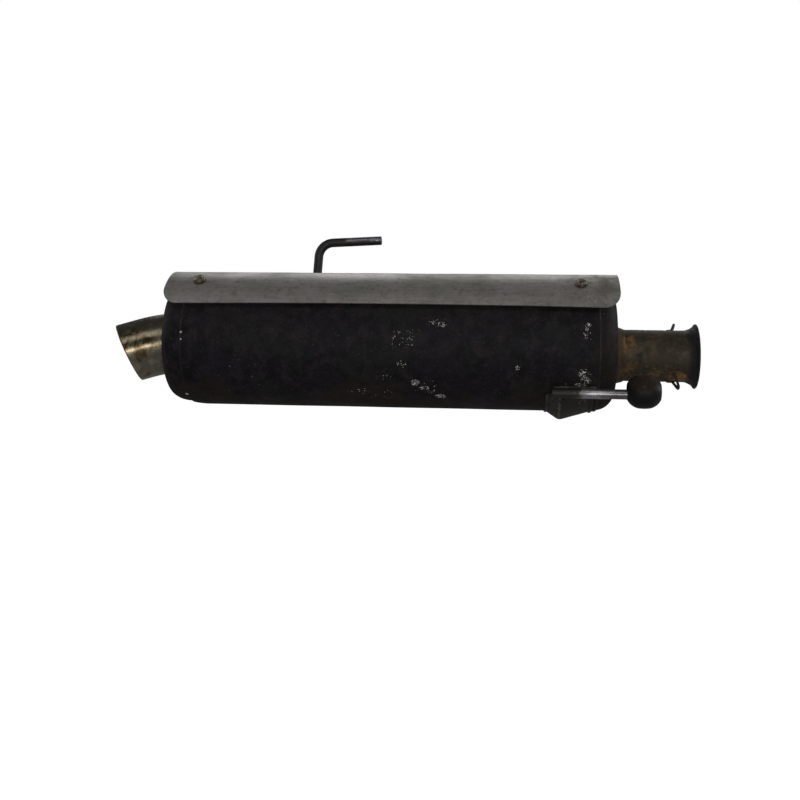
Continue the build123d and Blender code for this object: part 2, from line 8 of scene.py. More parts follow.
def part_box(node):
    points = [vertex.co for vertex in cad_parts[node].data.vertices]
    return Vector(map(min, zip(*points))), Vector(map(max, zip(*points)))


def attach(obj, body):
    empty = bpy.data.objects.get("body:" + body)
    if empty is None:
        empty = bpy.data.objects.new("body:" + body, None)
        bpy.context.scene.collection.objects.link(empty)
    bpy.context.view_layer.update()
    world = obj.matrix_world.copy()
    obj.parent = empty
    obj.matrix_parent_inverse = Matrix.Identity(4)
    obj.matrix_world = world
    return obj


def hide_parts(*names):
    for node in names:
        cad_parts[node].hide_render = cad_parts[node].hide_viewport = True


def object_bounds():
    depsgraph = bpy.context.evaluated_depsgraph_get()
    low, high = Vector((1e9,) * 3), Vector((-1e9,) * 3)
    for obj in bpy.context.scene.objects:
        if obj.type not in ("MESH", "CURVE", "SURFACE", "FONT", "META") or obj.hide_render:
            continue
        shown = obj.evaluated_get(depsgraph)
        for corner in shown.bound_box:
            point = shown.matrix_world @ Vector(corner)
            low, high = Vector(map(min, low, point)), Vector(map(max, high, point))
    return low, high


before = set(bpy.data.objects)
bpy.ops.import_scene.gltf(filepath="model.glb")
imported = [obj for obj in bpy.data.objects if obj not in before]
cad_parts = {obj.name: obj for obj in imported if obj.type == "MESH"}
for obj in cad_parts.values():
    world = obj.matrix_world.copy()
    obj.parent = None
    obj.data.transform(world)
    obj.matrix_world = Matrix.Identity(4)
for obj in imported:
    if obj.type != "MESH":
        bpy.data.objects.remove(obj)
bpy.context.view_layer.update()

MM = 0.001
TAU = math.tau

# ---- Places, read from the CAD frame ----------------------------------------------------------
shell_low, shell_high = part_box("body_shell")
CAN_R = (shell_high.y - shell_low.y) / 2
CAN_Z = (shell_high.z + shell_low.z) / 2
FRONT_SEAM, REAR_SEAM = shell_high.x, shell_low.x
FRONT_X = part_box("front_end_cap")[1].x
REAR_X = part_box("rear_end_cap")[0].x
collar_low, collar_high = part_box("inlet_collar")
pipe_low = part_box("inlet_pipe")[0]
shield_low, shield_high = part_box("heat_shield")
top_rod_low, top_rod_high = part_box("top_hanger_rod")
low_rod_low, low_rod_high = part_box("lower_hanger_rod")
isolator_low, isolator_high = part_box("lower_isolator")
bracket_low, bracket_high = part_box("lower_hanger_bracket")

CAN_WALL = 1.5 * MM
REAR_FLAT_R = 50 * MM
REAR_SKIRT_R = 61 * MM
REAR_CORNER = 19.5 * MM
SKIRT_LAP = 10 * MM
TAPER = 15 * MM
FRONT_CORNER = 19 * MM
INLET_R = 25.4 * MM
INLET_WALL = 1.5 * MM
BELL_R = 15.8 * MM
BELL_TURN = math.radians(51.6)
LIP_R = 1.1 * MM
COLLAR_NECK = 2 * MM
TAIL_R = 30.4 * MM
TAIL_WALL = 1.5 * MM
TAIL_HOLE_Z = CAN_Z - 2.6 * MM
TAIL_TURN = math.radians(20)
TAIL_ENTRY = math.radians(7.4)
TAIL_LEAVE = math.radians(17.5)
TAIL_INNER_RUN = 65 * MM
TAIL_OUTER_RUN = 5 * MM
TAIL_BEND_R = 150 * MM
TAIL_END_RUN = 18 * MM
SLASH_LEAN = math.radians(26.5)
SLASH_YAW = math.radians(10.5)
ROD_R = 4.75 * MM
SHIELD_R = 70.2 * MM
SHIELD_SHEET = 1.2 * MM
SHIELD_CORNER = 15 * MM
SHIELD_EDGE = shield_low.z - CAN_Z
SHIELD_BOW = 1.4 * MM
SCREW_LEAN = math.radians(33)
SCREW_XS = (-471.2 * MM, -100.7 * MM)
RUST_RING_R = 7.5 * MM
HEX_HALF = 5 * MM
HOOK_RISE = math.radians(58)
HOOK_FOOT_X = -9 * MM
HOOK_TIP_X = -5.3 * MM
HOOK_TIP_R = 35.6 * MM
HOOK_WIRE_R = 1.3 * MM
TOP_FOOT_X = -379.5 * MM
TOP_FOOT_HEIGHT = -22 * MM
TOP_CORNER_X = -370.6 * MM
TOP_CORNER_HEIGHT = 105.9 * MM
TOP_TIP_X = -304.3 * MM
TOP_TIP_HEIGHT = 109.5 * MM
TOP_BEND_R = 16 * MM
RIDGE_R = 72.8 * MM
RIDGE_FROM_REAR = 12.5 * MM
GUSSET_SHEET = 2.5 * MM
GUSSET_START = math.radians(180 + 44.6)
GUSSET_SWEEP = math.radians(53)
ISO_BAND_HALF = 2.5 * MM
ISO_END_R = 7.9 * MM
ISO_BORE_R = 4.8 * MM


# ---- Mesh building ----------------------------------------------------------------------------
def piece(name, verts, faces, material, body="muffler", stands_for=(), slot=None):
    """A smooth shaded mesh object in the row frame, riding on its body."""
    mesh = bpy.data.meshes.new(name)
    mesh.from_pydata([tuple(v) for v in verts], [], faces)
    work = bmesh.new()
    work.from_mesh(mesh)
    bmesh.ops.recalc_face_normals(work, faces=work.faces)
    for face in work.faces:
        face.smooth = True
    work.to_mesh(mesh)
    work.free()
    obj = bpy.data.objects.new(name, mesh)
    bpy.context.scene.collection.objects.link(obj)
    mesh.materials.append(material)
    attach(obj, body)
    if stands_for:
        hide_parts(*stands_for)
    return obj


def skin(rings, around=True, along=False):
    """Quads between successive rings of points, each ring closed on itself if around is set."""
    count = len(rings[0])
    verts = [p for ring in rings for p in ring]
    faces = []
    for i in range(len(rings) if along else len(rings) - 1):
        a, b = i * count, (i + 1) % len(rings) * count
        for j in range(count if around else count - 1):
            k = (j + 1) % count
            faces.append((a + j, a + k, b + k, b + j))
    return verts, faces


def circle(x, cy, cz, r, count, warp=None):
    """Points round a circle square to X; warp(x, angle) is added to the radius."""
    points = []
    for j in range(count):
        angle = TAU * j / count
        reach = r + (warp(x, angle) if warp else 0)
        points.append(Vector((x, cy + reach * math.sin(angle), cz + reach * math.cos(angle))))
    return points


def loop(centre, first, second, r, count):
    """Points round a circle that starts towards first and turns towards second."""
    return [
        centre + (first * math.cos(TAU * j / count) + second * math.sin(TAU * j / count)) * r
        for j in range(count)
    ]


def arc(cx, cr, rx, rr, start, end, steps):
    """(x, r) points along an elliptical arc, angles in degrees from +x towards +r."""
    return [
        (
            cx + rx * math.cos(math.radians(start + (end - start) * i / steps)),
            cr + rr * math.sin(math.radians(start + (end - start) * i / steps)),
        )
        for i in range(steps + 1)
    ]


def span(a, b, steps):
    """Points from a to b, leaving b out."""
    return [tuple(a[k] + (b[k] - a[k]) * i / steps for k in range(len(a))) for i in range(steps)]


def dense_line(a, b, steps):
    """Vectors from a to b, leaving b out."""
    return [a + (b - a) * i / steps for i in range(steps)]


def tube(path, radii, count, flat=None):
    """Rings along a path, turned with it; flat=(direction, factor) squeezes them that way."""
    tangents = []
    for i in range(len(path)):
        step = path[min(i + 1, len(path) - 1)] - path[max(i - 1, 0)]
        tangents.append(step.normalized())
    side = tangents[0].orthogonal().normalized()
    rings = []
    for i, (point, tangent) in enumerate(zip(path, tangents)):
        side = (side - tangent * side.dot(tangent)).normalized()
        other = tangent.cross(side)
        ring = []
        for j in range(count):
            angle = TAU * j / count
            offset = (side * math.cos(angle) + other * math.sin(angle)) * radii[i]
            if flat:
                normal = flat[0][i]
                offset -= normal * offset.dot(normal) * (1 - flat[1])
            ring.append(point + offset)
        rings.append(ring)
    return rings


def sheet(top, bottom):
    """A closed sheet between two equal grids of points."""
    verts, faces = skin(top, around=False)
    count = len(verts)
    under, under_faces = skin(bottom, around=False)
    verts += under
    faces += [tuple(k + count for k in face) for face in under_faces]
    rows, columns = len(top), len(top[0])
    rim = [i * columns for i in range(rows)]
    rim += [(rows - 1) * columns + j for j in range(1, columns)]
    rim += [i * columns + columns - 1 for i in range(rows - 2, -1, -1)]
    rim += list(range(columns - 2, 0, -1))
    for a, b in zip(rim, rim[1:] + rim[:1]):
        faces.append((a, b, b + count, a + count))
    return verts, faces


def round_edges(obj, width, segments, harden=False):
    """Rounds an object's sharp edges with a modifier."""
    bevel = obj.modifiers.new("rounded_edges", "BEVEL")
    bevel.width = width
    bevel.segments = segments
    bevel.limit_method = "ANGLE"
    bevel.angle_limit = math.radians(50)
    bevel.harden_normals = harden


def curve_through(before, corner, after, steps):
    """A parabola from before to after that leaves them towards the corner."""
    points = []
    for i in range(steps + 1):
        t = i / steps
        points.append(before * (1 - t) ** 2 + corner * 2 * t * (1 - t) + after * t * t)
    return points


def capped(rings):
    """Closes both ends of a tube with a small last ring and a fan."""
    verts, faces = skin(rings)
    count = len(rings[0])
    for ring, first in ((rings[0], 0), (rings[-1], len(verts) - count)):
        middle = sum(ring, Vector()) / count
        verts.append(middle)
        hub = len(verts) - 1
        for j in range(count):
            faces.append((first + j, first + (j + 1) % count, hub))
    return verts, faces


def rough(point, scale, octaves=3):
    """Fractal noise about zero."""
    return noise.fractal(Vector(point) * scale, 1.0, 2.0, octaves)


def weld(name, points, normals, width, material, closed=False, body="muffler", pitch=2.6 * MM):
    """A welded bead along points: rippled, a little uneven, and flattened along the normals."""
    length = [0.0]
    for a, b in zip(points, points[1:]):
        length.append(length[-1] + (b - a).length)
    radii = []
    for point, at in zip(points, length):
        ripple = abs(math.sin(math.pi * at / pitch))
        radii.append(width * (0.86 + 0.16 * ripple + 0.22 * rough(point, 140)))
    if not closed:
        for k, share in enumerate((0.25, 0.62, 0.86)):
            radii[k] *= share
            radii[-1 - k] *= share
    rings = tube(points, radii, 12, flat=(normals, 0.62))
    if closed:
        verts, faces = skin(rings, along=True)
    else:
        verts, faces = capped(rings)
    return piece(name, verts, faces, material, body=body)


# ---- Materials --------------------------------------------------------------------------------
class Shader:
    """A procedural material, written as a chain of small node helpers."""

    def __init__(self, name):
        self.material = bpy.data.materials.new(name)
        self.material.use_nodes = True
        self.tree = self.material.node_tree
        self.tree.nodes.clear()
        self.bsdf = self.tree.nodes.new("ShaderNodeBsdfPrincipled")
        output = self.tree.nodes.new("ShaderNodeOutputMaterial")
        self.tree.links.new(self.bsdf.outputs[0], output.inputs[0])
        self.place = self.tree.nodes.new("ShaderNodeTexCoord").outputs["Object"]
        split = self.tree.nodes.new("ShaderNodeSeparateXYZ")
        self.tree.links.new(self.place, split.inputs[0])
        self.x, self.y, self.z = split.outputs
        facing = self.tree.nodes.new("ShaderNodeNewGeometry")
        parts = self.tree.nodes.new("ShaderNodeSeparateXYZ")
        self.tree.links.new(facing.outputs["Normal"], parts.inputs[0])
        self.up = parts.outputs[2]
        self.point = facing.outputs["Pointiness"]

    def put(self, socket, value):
        if isinstance(value, bpy.types.NodeSocket):
            self.tree.links.new(value, socket)
        elif isinstance(value, tuple) and len(value) == 3 and socket.type == "RGBA":
            socket.default_value = (*value, 1)
        else:
            socket.default_value = value

    def noise(self, scale, detail=5, rough=0.55, stretch=(1, 1, 1), shift=0.0, distort=0.0):
        mapping = self.tree.nodes.new("ShaderNodeMapping")
        self.tree.links.new(self.place, mapping.inputs["Vector"])
        mapping.inputs["Scale"].default_value = stretch
        mapping.inputs["Location"].default_value = (shift, shift * 0.7, shift * 1.3)
        node = self.tree.nodes.new("ShaderNodeTexNoise")
        self.tree.links.new(mapping.outputs[0], node.inputs["Vector"])
        node.inputs["Scale"].default_value = scale
        node.inputs["Detail"].default_value = detail
        node.inputs["Roughness"].default_value = rough
        node.inputs["Distortion"].default_value = distort
        return node.outputs[0]

    def cells(self, scale, stretch=(1, 1, 1), output="Distance", shift=0.0):
        mapping = self.tree.nodes.new("ShaderNodeMapping")
        self.tree.links.new(self.place, mapping.inputs["Vector"])
        mapping.inputs["Scale"].default_value = stretch
        mapping.inputs["Location"].default_value = (shift, shift, shift)
        node = self.tree.nodes.new("ShaderNodeTexVoronoi")
        self.tree.links.new(mapping.outputs[0], node.inputs["Vector"])
        node.inputs["Scale"].default_value = scale
        return node.outputs[output]

    def calc(self, operation, a, b=0.0, clamp=False):
        node = self.tree.nodes.new("ShaderNodeMath")
        node.operation = operation
        node.use_clamp = clamp
        self.put(node.inputs[0], a)
        self.put(node.inputs[1], b)
        return node.outputs[0]

    def plus(self, a, b):
        return self.calc("ADD", a, b)

    def minus(self, a, b):
        return self.calc("SUBTRACT", a, b)

    def times(self, a, b):
        return self.calc("MULTIPLY", a, b)

    def gap(self, a, b):
        """How far a lies from b, either way."""
        return self.calc("ABSOLUTE", self.minus(a, b))

    def step(self, value, low, high):
        """0 below low to 1 above high, eased; low may be the larger."""
        node = self.tree.nodes.new("ShaderNodeMapRange")
        node.interpolation_type = "SMOOTHSTEP"
        self.put(node.inputs["Value"], value)
        if low < high:
            bounds = (low, high, 0.0, 1.0)
        else:
            bounds = (high, low, 1.0, 0.0)
        for socket, number in zip(("From Min", "From Max", "To Min", "To Max"), bounds):
            node.inputs[socket].default_value = number
        return node.outputs[0]

    def both(self, *masks):
        result = masks[0]
        for mask in masks[1:]:
            result = self.times(result, mask)
        return result

    def either(self, *masks):
        result = masks[0]
        for mask in masks[1:]:
            result = self.calc("MAXIMUM", result, mask)
        return result

    def mix(self, mask, a, b):
        node = self.tree.nodes.new("ShaderNodeMix")
        node.data_type = "RGBA"
        self.put(node.inputs[0], mask)
        self.put(node.inputs[6], a)
        self.put(node.inputs[7], b)
        return node.outputs[2]

    def lay(self, mask, share, below, above):
        """The colour above laid over the one below, at a share of the mask."""
        return self.mix(self.times(mask, share), below, above)

    def spots(self, places):
        """The strongest of several soft spots; each is x, z, half width, half height in millimetres."""
        result = None
        for x, z, rx, rz, *dense in places:
            spot = self.spot(x * MM, z * MM, rx * MM, rz * MM)
            if dense:
                spot = self.times(spot, dense[0])
            result = spot if result is None else self.either(result, spot)
        return result

    def blend(self, mask, a, b):
        """Between two numbers."""
        node = self.tree.nodes.new("ShaderNodeMix")
        node.data_type = "FLOAT"
        self.put(node.inputs[0], mask)
        self.put(node.inputs[2], a)
        self.put(node.inputs[3], b)
        return node.outputs[0]

    def ramp(self, value, *stops):
        node = self.tree.nodes.new("ShaderNodeValToRGB")
        self.put(node.inputs[0], value)
        elements = node.color_ramp.elements
        while len(elements) < len(stops):
            elements.new(0.5)
        for element, (at, colour) in zip(elements, stops):
            element.position = at
            element.color = (*colour, 1)
        return node.outputs[0]

    def spot(self, x, z, rx, rz):
        """A soft round mask about one place on the outer side, in metres, z from the can's axis."""
        dx = self.times(self.minus(self.x, x), 1 / rx)
        dz = self.times(self.minus(self.z, z + CAN_Z), 1 / rz)
        reach = self.plus(self.times(dx, dx), self.times(dz, dz))
        return self.both(self.step(reach, 1.0, 0.25), self.step(self.y, 0.0, -0.01))

    def bump(self, height, strength, depth, normal=None):
        node = self.tree.nodes.new("ShaderNodeBump")
        node.inputs["Strength"].default_value = strength
        node.inputs["Distance"].default_value = depth
        self.put(node.inputs["Height"], height)
        if normal is not None:
            self.tree.links.new(normal, node.inputs["Normal"])
        return node.outputs[0]

    def finish(self, colour, roughness, metallic=0.0, normal=None, specular=0.5, **more):
        self.put(self.bsdf.inputs["Base Color"], colour)
        self.put(self.bsdf.inputs["Roughness"], roughness)
        self.put(self.bsdf.inputs["Metallic"], metallic)
        self.put(self.bsdf.inputs["Specular IOR Level"], specular)
        if normal is not None:
            self.tree.links.new(normal, self.bsdf.inputs["Normal"])
        for name, value in more.items():
            self.put(self.bsdf.inputs[name.replace("_", " ")], value)
        return self.material


# Wear of the paint on the can's outer side, in millimetres: x, height above the can's axis, half
# width and half height. CHIPS are flakes, with how dense they are; DOTS are pin-prick speckles;
# NICKS are single bare marks.
CHIPS = (
    (-238.6, 21.0, 5, 3, 0.8), (-231.5, 18.6, 7, 4, 0.9), (-224.0, 16.5, 4, 3, 0.6),
    (-274.3, 8.6, 6, 5, 0.55), (-262.5, 11.2, 7, 4, 0.6), (-259.1, 3.2, 5, 6, 0.6),
    (-266.7, -5.2, 7, 4, 0.5), (-276.5, -1.5, 4, 6, 0.5), (-270.8, -20.1, 6, 4, 0.7),
    (-256.3, -36.8, 6, 4, 1.25), (-247.9, -41.9, 7, 3, 0.9), (-240.8, -45.4, 7, 3.5, 0.8),
    (-233.0, -49.9, 7, 3, 1.1), (-159.7, -21.1, 3, 3, 1.1), (-95.6, 18.0, 3.5, 7, 0.95),
    (-97.4, 9.5, 4, 6, 0.85), (-99.6, -25.5, 6, 6, 0.95), (-96.6, -31.8, 6, 5, 1.05),
    (-101.5, -37.5, 9, 4, 1.0), (-112.0, -40.5, 10, 4, 0.8),
)
DOTS = (
    (-268.0, 4.5, 13, 11), (-262.0, 12.0, 12, 5), (-235.0, 20.0, 12, 5), (-270.8, -20.1, 8, 5),
    (-248.0, -40.0, 16, 8), (-97.0, -29.0, 9, 9), (-108.0, -38.5, 14, 5), (-95.5, 14.0, 6, 11),
    (-300.0, -47.0, 24, 6), (-285.0, -33.0, 10, 6),
)
NICKS = ((-482.8, 8.0, 1.7, 1.2), (-482.5, 1.2, 1.0, 1.2), (-484.2, -53.0, 2.4, 1.1))


def can_paint():
    s = Shader("can_black_paint")
    cloud = s.noise(11, 6, 0.6)
    speck = s.noise(420, 3, 0.7)
    tint = s.ramp(cloud, (0.32, (0.0052, 0.0040, 0.0062)), (0.52, (0.0078, 0.0064, 0.0080)),
                  (0.72, (0.0115, 0.0098, 0.0105)))
    mottle = s.noise(85, 5, 0.66, shift=12.0)
    tint = s.lay(s.step(mottle, 0.50, 0.62), 0.8, tint, (0.0170, 0.0125, 0.0150))
    tint = s.lay(s.step(mottle, 0.49, 0.38), 0.8, tint, (0.0034, 0.0038, 0.0046))
    blot = s.noise(33, 6, 0.6, shift=15.0)
    tint = s.lay(s.step(blot, 0.52, 0.64), 0.6, tint, (0.0090, 0.0112, 0.0095))
    tint = s.lay(s.step(blot, 0.47, 0.36), 0.6, tint, (0.0100, 0.0075, 0.0125))
    tint = s.lay(s.step(speck, 0.54, 0.72), 0.8, tint, (0.0260, 0.0230, 0.0220))
    low = s.both(s.step(s.z, CAN_Z - 0.020, CAN_Z - 0.055),
                 s.step(s.noise(19, 6, 0.65, shift=2.0), 0.44, 0.66))
    tint = s.lay(low, 0.8, tint, (0.0185, 0.0135, 0.0095))
    nose = s.both(s.step(s.x, -0.096, -0.078), s.step(s.noise(26, 6, 0.66, shift=3.5), 0.36, 0.62))
    tint = s.lay(nose, 0.8, tint, (0.0150, 0.0130, 0.0095))
    dust = s.both(s.step(s.up, 0.1, 0.9), s.step(s.noise(30, 6, 0.65, shift=5.0), 0.35, 0.75))
    tint = s.lay(dust, 0.35, tint, (0.040, 0.034, 0.028))
    rust = s.both(
        s.step(s.noise(62, 8, 0.72, shift=9.0), 0.585, 0.68),
        s.either(
            s.step(s.z, CAN_Z + 0.024, CAN_Z + 0.032),
            s.step(s.x, -0.100, -0.070),
            s.times(s.step(s.x, -0.470, -0.497), 0.6),
            s.times(s.step(s.z, CAN_Z - 0.040, CAN_Z - 0.058), 0.7),
        ),
    )
    tint = s.lay(rust, 0.6, tint, (0.050, 0.026, 0.012))
    field = s.spots(CHIPS)
    flake = s.noise(430, 4, 0.66, shift=4.0, distort=1.1)
    pull = s.times(s.minus(field, 1.0), 0.22)
    chips = s.both(
        s.step(s.plus(flake, pull), 0.520, 0.545),
        s.step(s.noise(1100, 2, 0.6, shift=7.0), 0.42, 0.50),
    )
    dots = s.both(
        s.spots(DOTS),
        s.step(s.cells(520, shift=1.0), 0.26, 0.17),
        s.step(s.noise(240, 2, 0.5, shift=9.0), 0.50, 0.55),
    )
    chips = s.either(chips, dots)
    for x, z, rx, rz in NICKS:
        nick = s.both(s.spot(x * MM, z * MM, rx * MM, rz * MM), s.step(flake, 0.34, 0.46))
        chips = s.either(chips, nick)
    stray = s.both(
        s.step(s.cells(120, shift=3.0), 0.07, 0.04), s.step(s.noise(12, 3, 0.5, shift=6.0), 0.55, 0.62)
    )
    chips = s.either(chips, s.times(stray, 0.35))
    lines = s.step(s.noise(1, 2, 0.5, stretch=(60, 900, 900), shift=1.0), 0.66, 0.72)
    near = s.spot(-294 * MM, -45 * MM, 40 * MM, 11 * MM)
    scratch = s.both(lines, s.either(near, s.times(s.step(cloud, 0.5, 0.7), 0.25)))
    tint = s.lay(scratch, 0.35, tint, (0.080, 0.076, 0.070))
    # Partly worn paint, partly painted highlight: a lighter, broken line along both seams, where their
    # edges would catch light.
    rear_gap = s.gap(s.x, REAR_SEAM)
    front_gap = s.gap(s.x, FRONT_SEAM)
    seam_wear_and_highlight = s.both(s.step(s.calc("MINIMUM", rear_gap, front_gap), 0.0011, 0.0003),
                  s.step(s.noise(70, 6, 0.7, shift=8.0), 0.34, 0.56))
    tint = s.lay(seam_wear_and_highlight, 0.55, tint, (0.045, 0.040, 0.036))
    metal = s.mix(s.noise(260, 4, 0.6, shift=2.0), (0.26, 0.25, 0.22), (0.74, 0.73, 0.69))
    tint = s.mix(chips, tint, metal)
    roughness = s.blend(cloud, 0.50, 0.72)
    roughness = s.blend(s.either(dust, rust, low, nose), roughness, 0.85)
    peel = s.bump(s.noise(700, 3, 0.6), 0.20, 0.00012)
    waves = s.bump(s.noise(28, 4, 0.5), 0.35, 0.0009, peel)
    pits = s.bump(s.minus(1.0, s.either(chips, rust)), 0.5, 0.00025, waves)
    return s.finish(tint, roughness, 0.0, pits, specular=0.09)


def bare_sheet():
    """Weathered bare steel: rolled grain along X, smudges, pits and a stain at the inlet end."""
    s = Shader("weathered_bare_sheet")
    grain = s.noise(1, 4, 0.7, stretch=(26, 620, 620))
    smudge = s.noise(17, 7, 0.62, distort=0.4)
    fine = s.noise(160, 5, 0.7, shift=3.0)
    tint = s.ramp(smudge, (0.32, (0.160, 0.154, 0.131)), (0.5, (0.237, 0.223, 0.204)),
                  (0.68, (0.320, 0.296, 0.289)))
    tint = s.lay(s.step(grain, 0.40, 0.68), 0.45, tint, (0.350, 0.327, 0.303))
    tint = s.lay(s.step(fine, 0.48, 0.68), 0.50, tint, (0.100, 0.092, 0.078))
    runs = s.both(s.step(s.noise(1, 5, 0.62, stretch=(34, 7, 7), shift=2.0), 0.52, 0.66),
                  s.step(s.noise(9, 3, 0.5, shift=5.0), 0.42, 0.60))
    tint = s.lay(runs, 0.45, tint, (0.355, 0.335, 0.304))
    stain = s.both(
        s.step(s.x, -0.150, -0.070), s.step(s.noise(42, 7, 0.68, shift=8.0), 0.42, 0.58)
    )
    tint = s.lay(stain, 0.65, tint, (0.066, 0.060, 0.043))
    scratch = s.both(
        s.spot(-71 * MM, 62.5 * MM, 4.5 * MM, 1.4 * MM),
        s.step(s.noise(500, 3, 0.6, shift=6.0), 0.40, 0.50),
    )
    tint = s.lay(scratch, 0.8, tint, (0.300, 0.285, 0.250))
    specks = s.both(
        s.spot(-99 * MM, 47 * MM, 13 * MM, 8 * MM), s.step(s.cells(330, shift=5.0), 0.30, 0.20)
    )
    pits = s.both(
        s.step(s.cells(190, shift=2.0), 0.16, 0.07), s.step(s.noise(22, 3, 0.5, shift=4.0), 0.47, 0.62)
    )
    pits = s.either(pits, specks)
    tint = s.lay(pits, 0.8, tint, (0.024, 0.021, 0.017))
    rust = s.both(s.step(s.noise(75, 8, 0.72, shift=11.0), 0.64, 0.72), s.step(smudge, 0.4, 0.6))
    tint = s.lay(rust, 0.5, tint, (0.095, 0.054, 0.028))
    rings = None
    beside = s.minus(s.calc("ABSOLUTE", s.y), SHIELD_R * math.sin(SCREW_LEAN))
    for screw_x in SCREW_XS:
        dx = s.times(s.minus(s.x, screw_x), 1 / RUST_RING_R)
        dy = s.times(beside, 1 / (RUST_RING_R * math.cos(SCREW_LEAN)))
        reach = s.plus(s.times(dx, dx), s.times(dy, dy))
        ring = s.step(s.plus(reach, s.times(smudge, 0.5)), 1.25, 0.75)
        rings = ring if rings is None else s.either(rings, ring)
    tint = s.lay(rings, 0.85, tint, (0.060, 0.036, 0.018))
    edge = s.step(s.point, 0.515, 0.56)
    tint = s.lay(edge, 0.5, tint, (0.24, 0.23, 0.21))
    roughness = s.blend(s.step(smudge, 0.3, 0.7), 0.58, 0.44)
    roughness = s.blend(s.either(pits, rust, stain), roughness, 0.75)
    brushed = s.bump(grain, 0.12, 0.00015)
    waves = s.bump(s.noise(13, 3, 0.5, shift=6.0), 0.30, 0.0016, brushed)
    normal = s.bump(s.minus(1.0, pits), 0.35, 0.00025, waves)
    metal = s.blend(s.either(rust, stain), 0.6, 0.25)
    return s.finish(tint, roughness, metal, normal, specular=0.4)


def tinted_stainless():
    """Heat-tinted tail pipe: grey and bronze patches, straw at the mouth, with fine grain."""
    s = Shader("heat_tinted_stainless")
    grain = s.noise(1, 4, 0.7, stretch=(45, 800, 800))
    cloud = s.noise(40, 7, 0.64, stretch=(1.5, 1, 1), distort=0.5)
    tint = s.ramp(cloud, (0.34, (0.090, 0.062, 0.034)), (0.44, (0.225, 0.190, 0.130)),
                  (0.53, (0.165, 0.152, 0.122)), (0.62, (0.310, 0.270, 0.205)),
                  (0.72, (0.150, 0.104, 0.050)))
    hot = s.both(s.step(s.x, -0.538, -0.556), s.step(s.noise(60, 6, 0.64, shift=3.0), 0.40, 0.56),
                 s.step(s.z, 0.016, 0.000))
    tint = s.lay(hot, 0.75, tint, (0.280, 0.150, 0.040))
    soot = s.both(s.step(s.x, -0.524, -0.506), s.step(cloud, 0.3, 0.6))
    tint = s.lay(soot, 0.6, tint, (0.045, 0.038, 0.030))
    dirt = s.step(s.noise(120, 7, 0.7, shift=6.0), 0.52, 0.70)
    tint = s.lay(dirt, 0.5, tint, (0.070, 0.050, 0.030))
    roughness = s.blend(s.step(cloud, 0.3, 0.7), 0.20, 0.32)
    roughness = s.blend(s.either(dirt, soot), roughness, 0.45)
    lines = s.bump(grain, 0.10, 0.00012)
    normal = s.bump(s.noise(60, 5, 0.6, shift=1.0), 0.10, 0.0005, lines)
    return s.finish(tint, roughness, s.blend(dirt, 1.0, 0.75), normal)


def burnt_inlet():
    """Inlet pipe: burnt grey steel under olive and brown scale, with orange rust in patches."""
    s = Shader("burnt_rusty_steel")
    cloud = s.noise(42, 8, 0.68, distort=0.6)
    fine = s.noise(260, 6, 0.72, shift=5.0)
    tint = s.ramp(cloud, (0.38, (0.0110, 0.0080, 0.0055)), (0.46, (0.0360, 0.0230, 0.0115)),
                  (0.54, (0.0190, 0.0185, 0.0135)), (0.63, (0.0760, 0.0450, 0.0190)))
    olive = s.step(s.noise(55, 6, 0.62, shift=14.0), 0.50, 0.60)
    olive = s.both(olive, s.step(s.z, -0.010, 0.004))
    tint = s.lay(olive, 0.7, tint, (0.0620, 0.0500, 0.0250))
    tint = s.lay(s.step(fine, 0.50, 0.70), 0.50, tint, (0.082, 0.068, 0.049))
    tint = s.lay(s.step(fine, 0.47, 0.32), 0.60, tint, (0.0085, 0.0066, 0.0052))
    patch = s.noise(70, 8, 0.7, shift=9.0)
    collar_rust = s.both(s.spot(-53 * MM, 2 * MM, 8 * MM, 15 * MM), s.step(patch, 0.44, 0.56))
    hook_rust = s.both(s.spot(-6 * MM, -29 * MM, 11 * MM, 8 * MM), s.step(patch, 0.36, 0.50))
    foot_rust = s.both(s.spot(-20 * MM, -26 * MM, 12 * MM, 7 * MM), s.step(patch, 0.46, 0.56))
    low_rust = s.both(s.step(s.z, 0.000, -0.014), s.step(patch, 0.51, 0.60))
    orange = s.either(
        s.times(collar_rust, 0.75), hook_rust, s.times(foot_rust, 0.7), s.times(low_rust, 0.5)
    )
    scaly = s.mix(s.step(fine, 0.4, 0.65), (0.110, 0.046, 0.012), (0.235, 0.125, 0.045))
    tint = s.lay(orange, 0.9, tint, scaly)
    joint = s.both(s.step(s.gap(s.x, FRONT_X + 0.003), 0.0028, 0.0012),
                   s.step(patch, 0.38, 0.52))
    tint = s.lay(joint, 0.8, tint, (0.070, 0.036, 0.014))
    ragged = s.times(s.noise(90, 4, 0.6, shift=2.0), 0.006)
    bell = s.step(s.plus(s.x, ragged), 0.0040, 0.0095)
    dark = s.mix(fine, (0.0062, 0.0050, 0.0066), (0.0160, 0.0125, 0.0145))
    tint = s.lay(bell, 0.92, tint, dark)
    axis = s.calc("SQRT", s.plus(s.times(s.y, s.y), s.times(s.z, s.z)))
    tint = s.lay(s.step(axis, 0.0246, 0.0242), 0.8, tint, (0.0090, 0.0075, 0.0065))
    edge = s.step(s.point, 0.53, 0.60)
    tint = s.lay(edge, 0.3, tint, (0.110, 0.090, 0.072))
    roughness = s.blend(s.step(fine, 0.4, 0.7), 0.60, 0.88)
    scale = s.bump(fine, 0.55, 0.0004)
    normal = s.bump(cloud, 0.45, 0.0009, scale)
    return s.finish(tint, roughness, s.blend(orange, 0.25, 0.0), normal, specular=0.3)


def weld_metal(name, colour, warm):
    s = Shader(name)
    fine = s.noise(330, 6, 0.7)
    cloud = s.noise(80, 5, 0.6, shift=3.0)
    tint = s.mix(s.step(cloud, 0.40, 0.62), colour, warm)
    tint = s.lay(s.step(fine, 0.5, 0.7), 0.5, tint, tuple(c * 2.2 for c in colour))
    return s.finish(tint, s.blend(fine, 0.5, 0.85), 0.2, s.bump(fine, 0.5, 0.0003), specular=0.3)


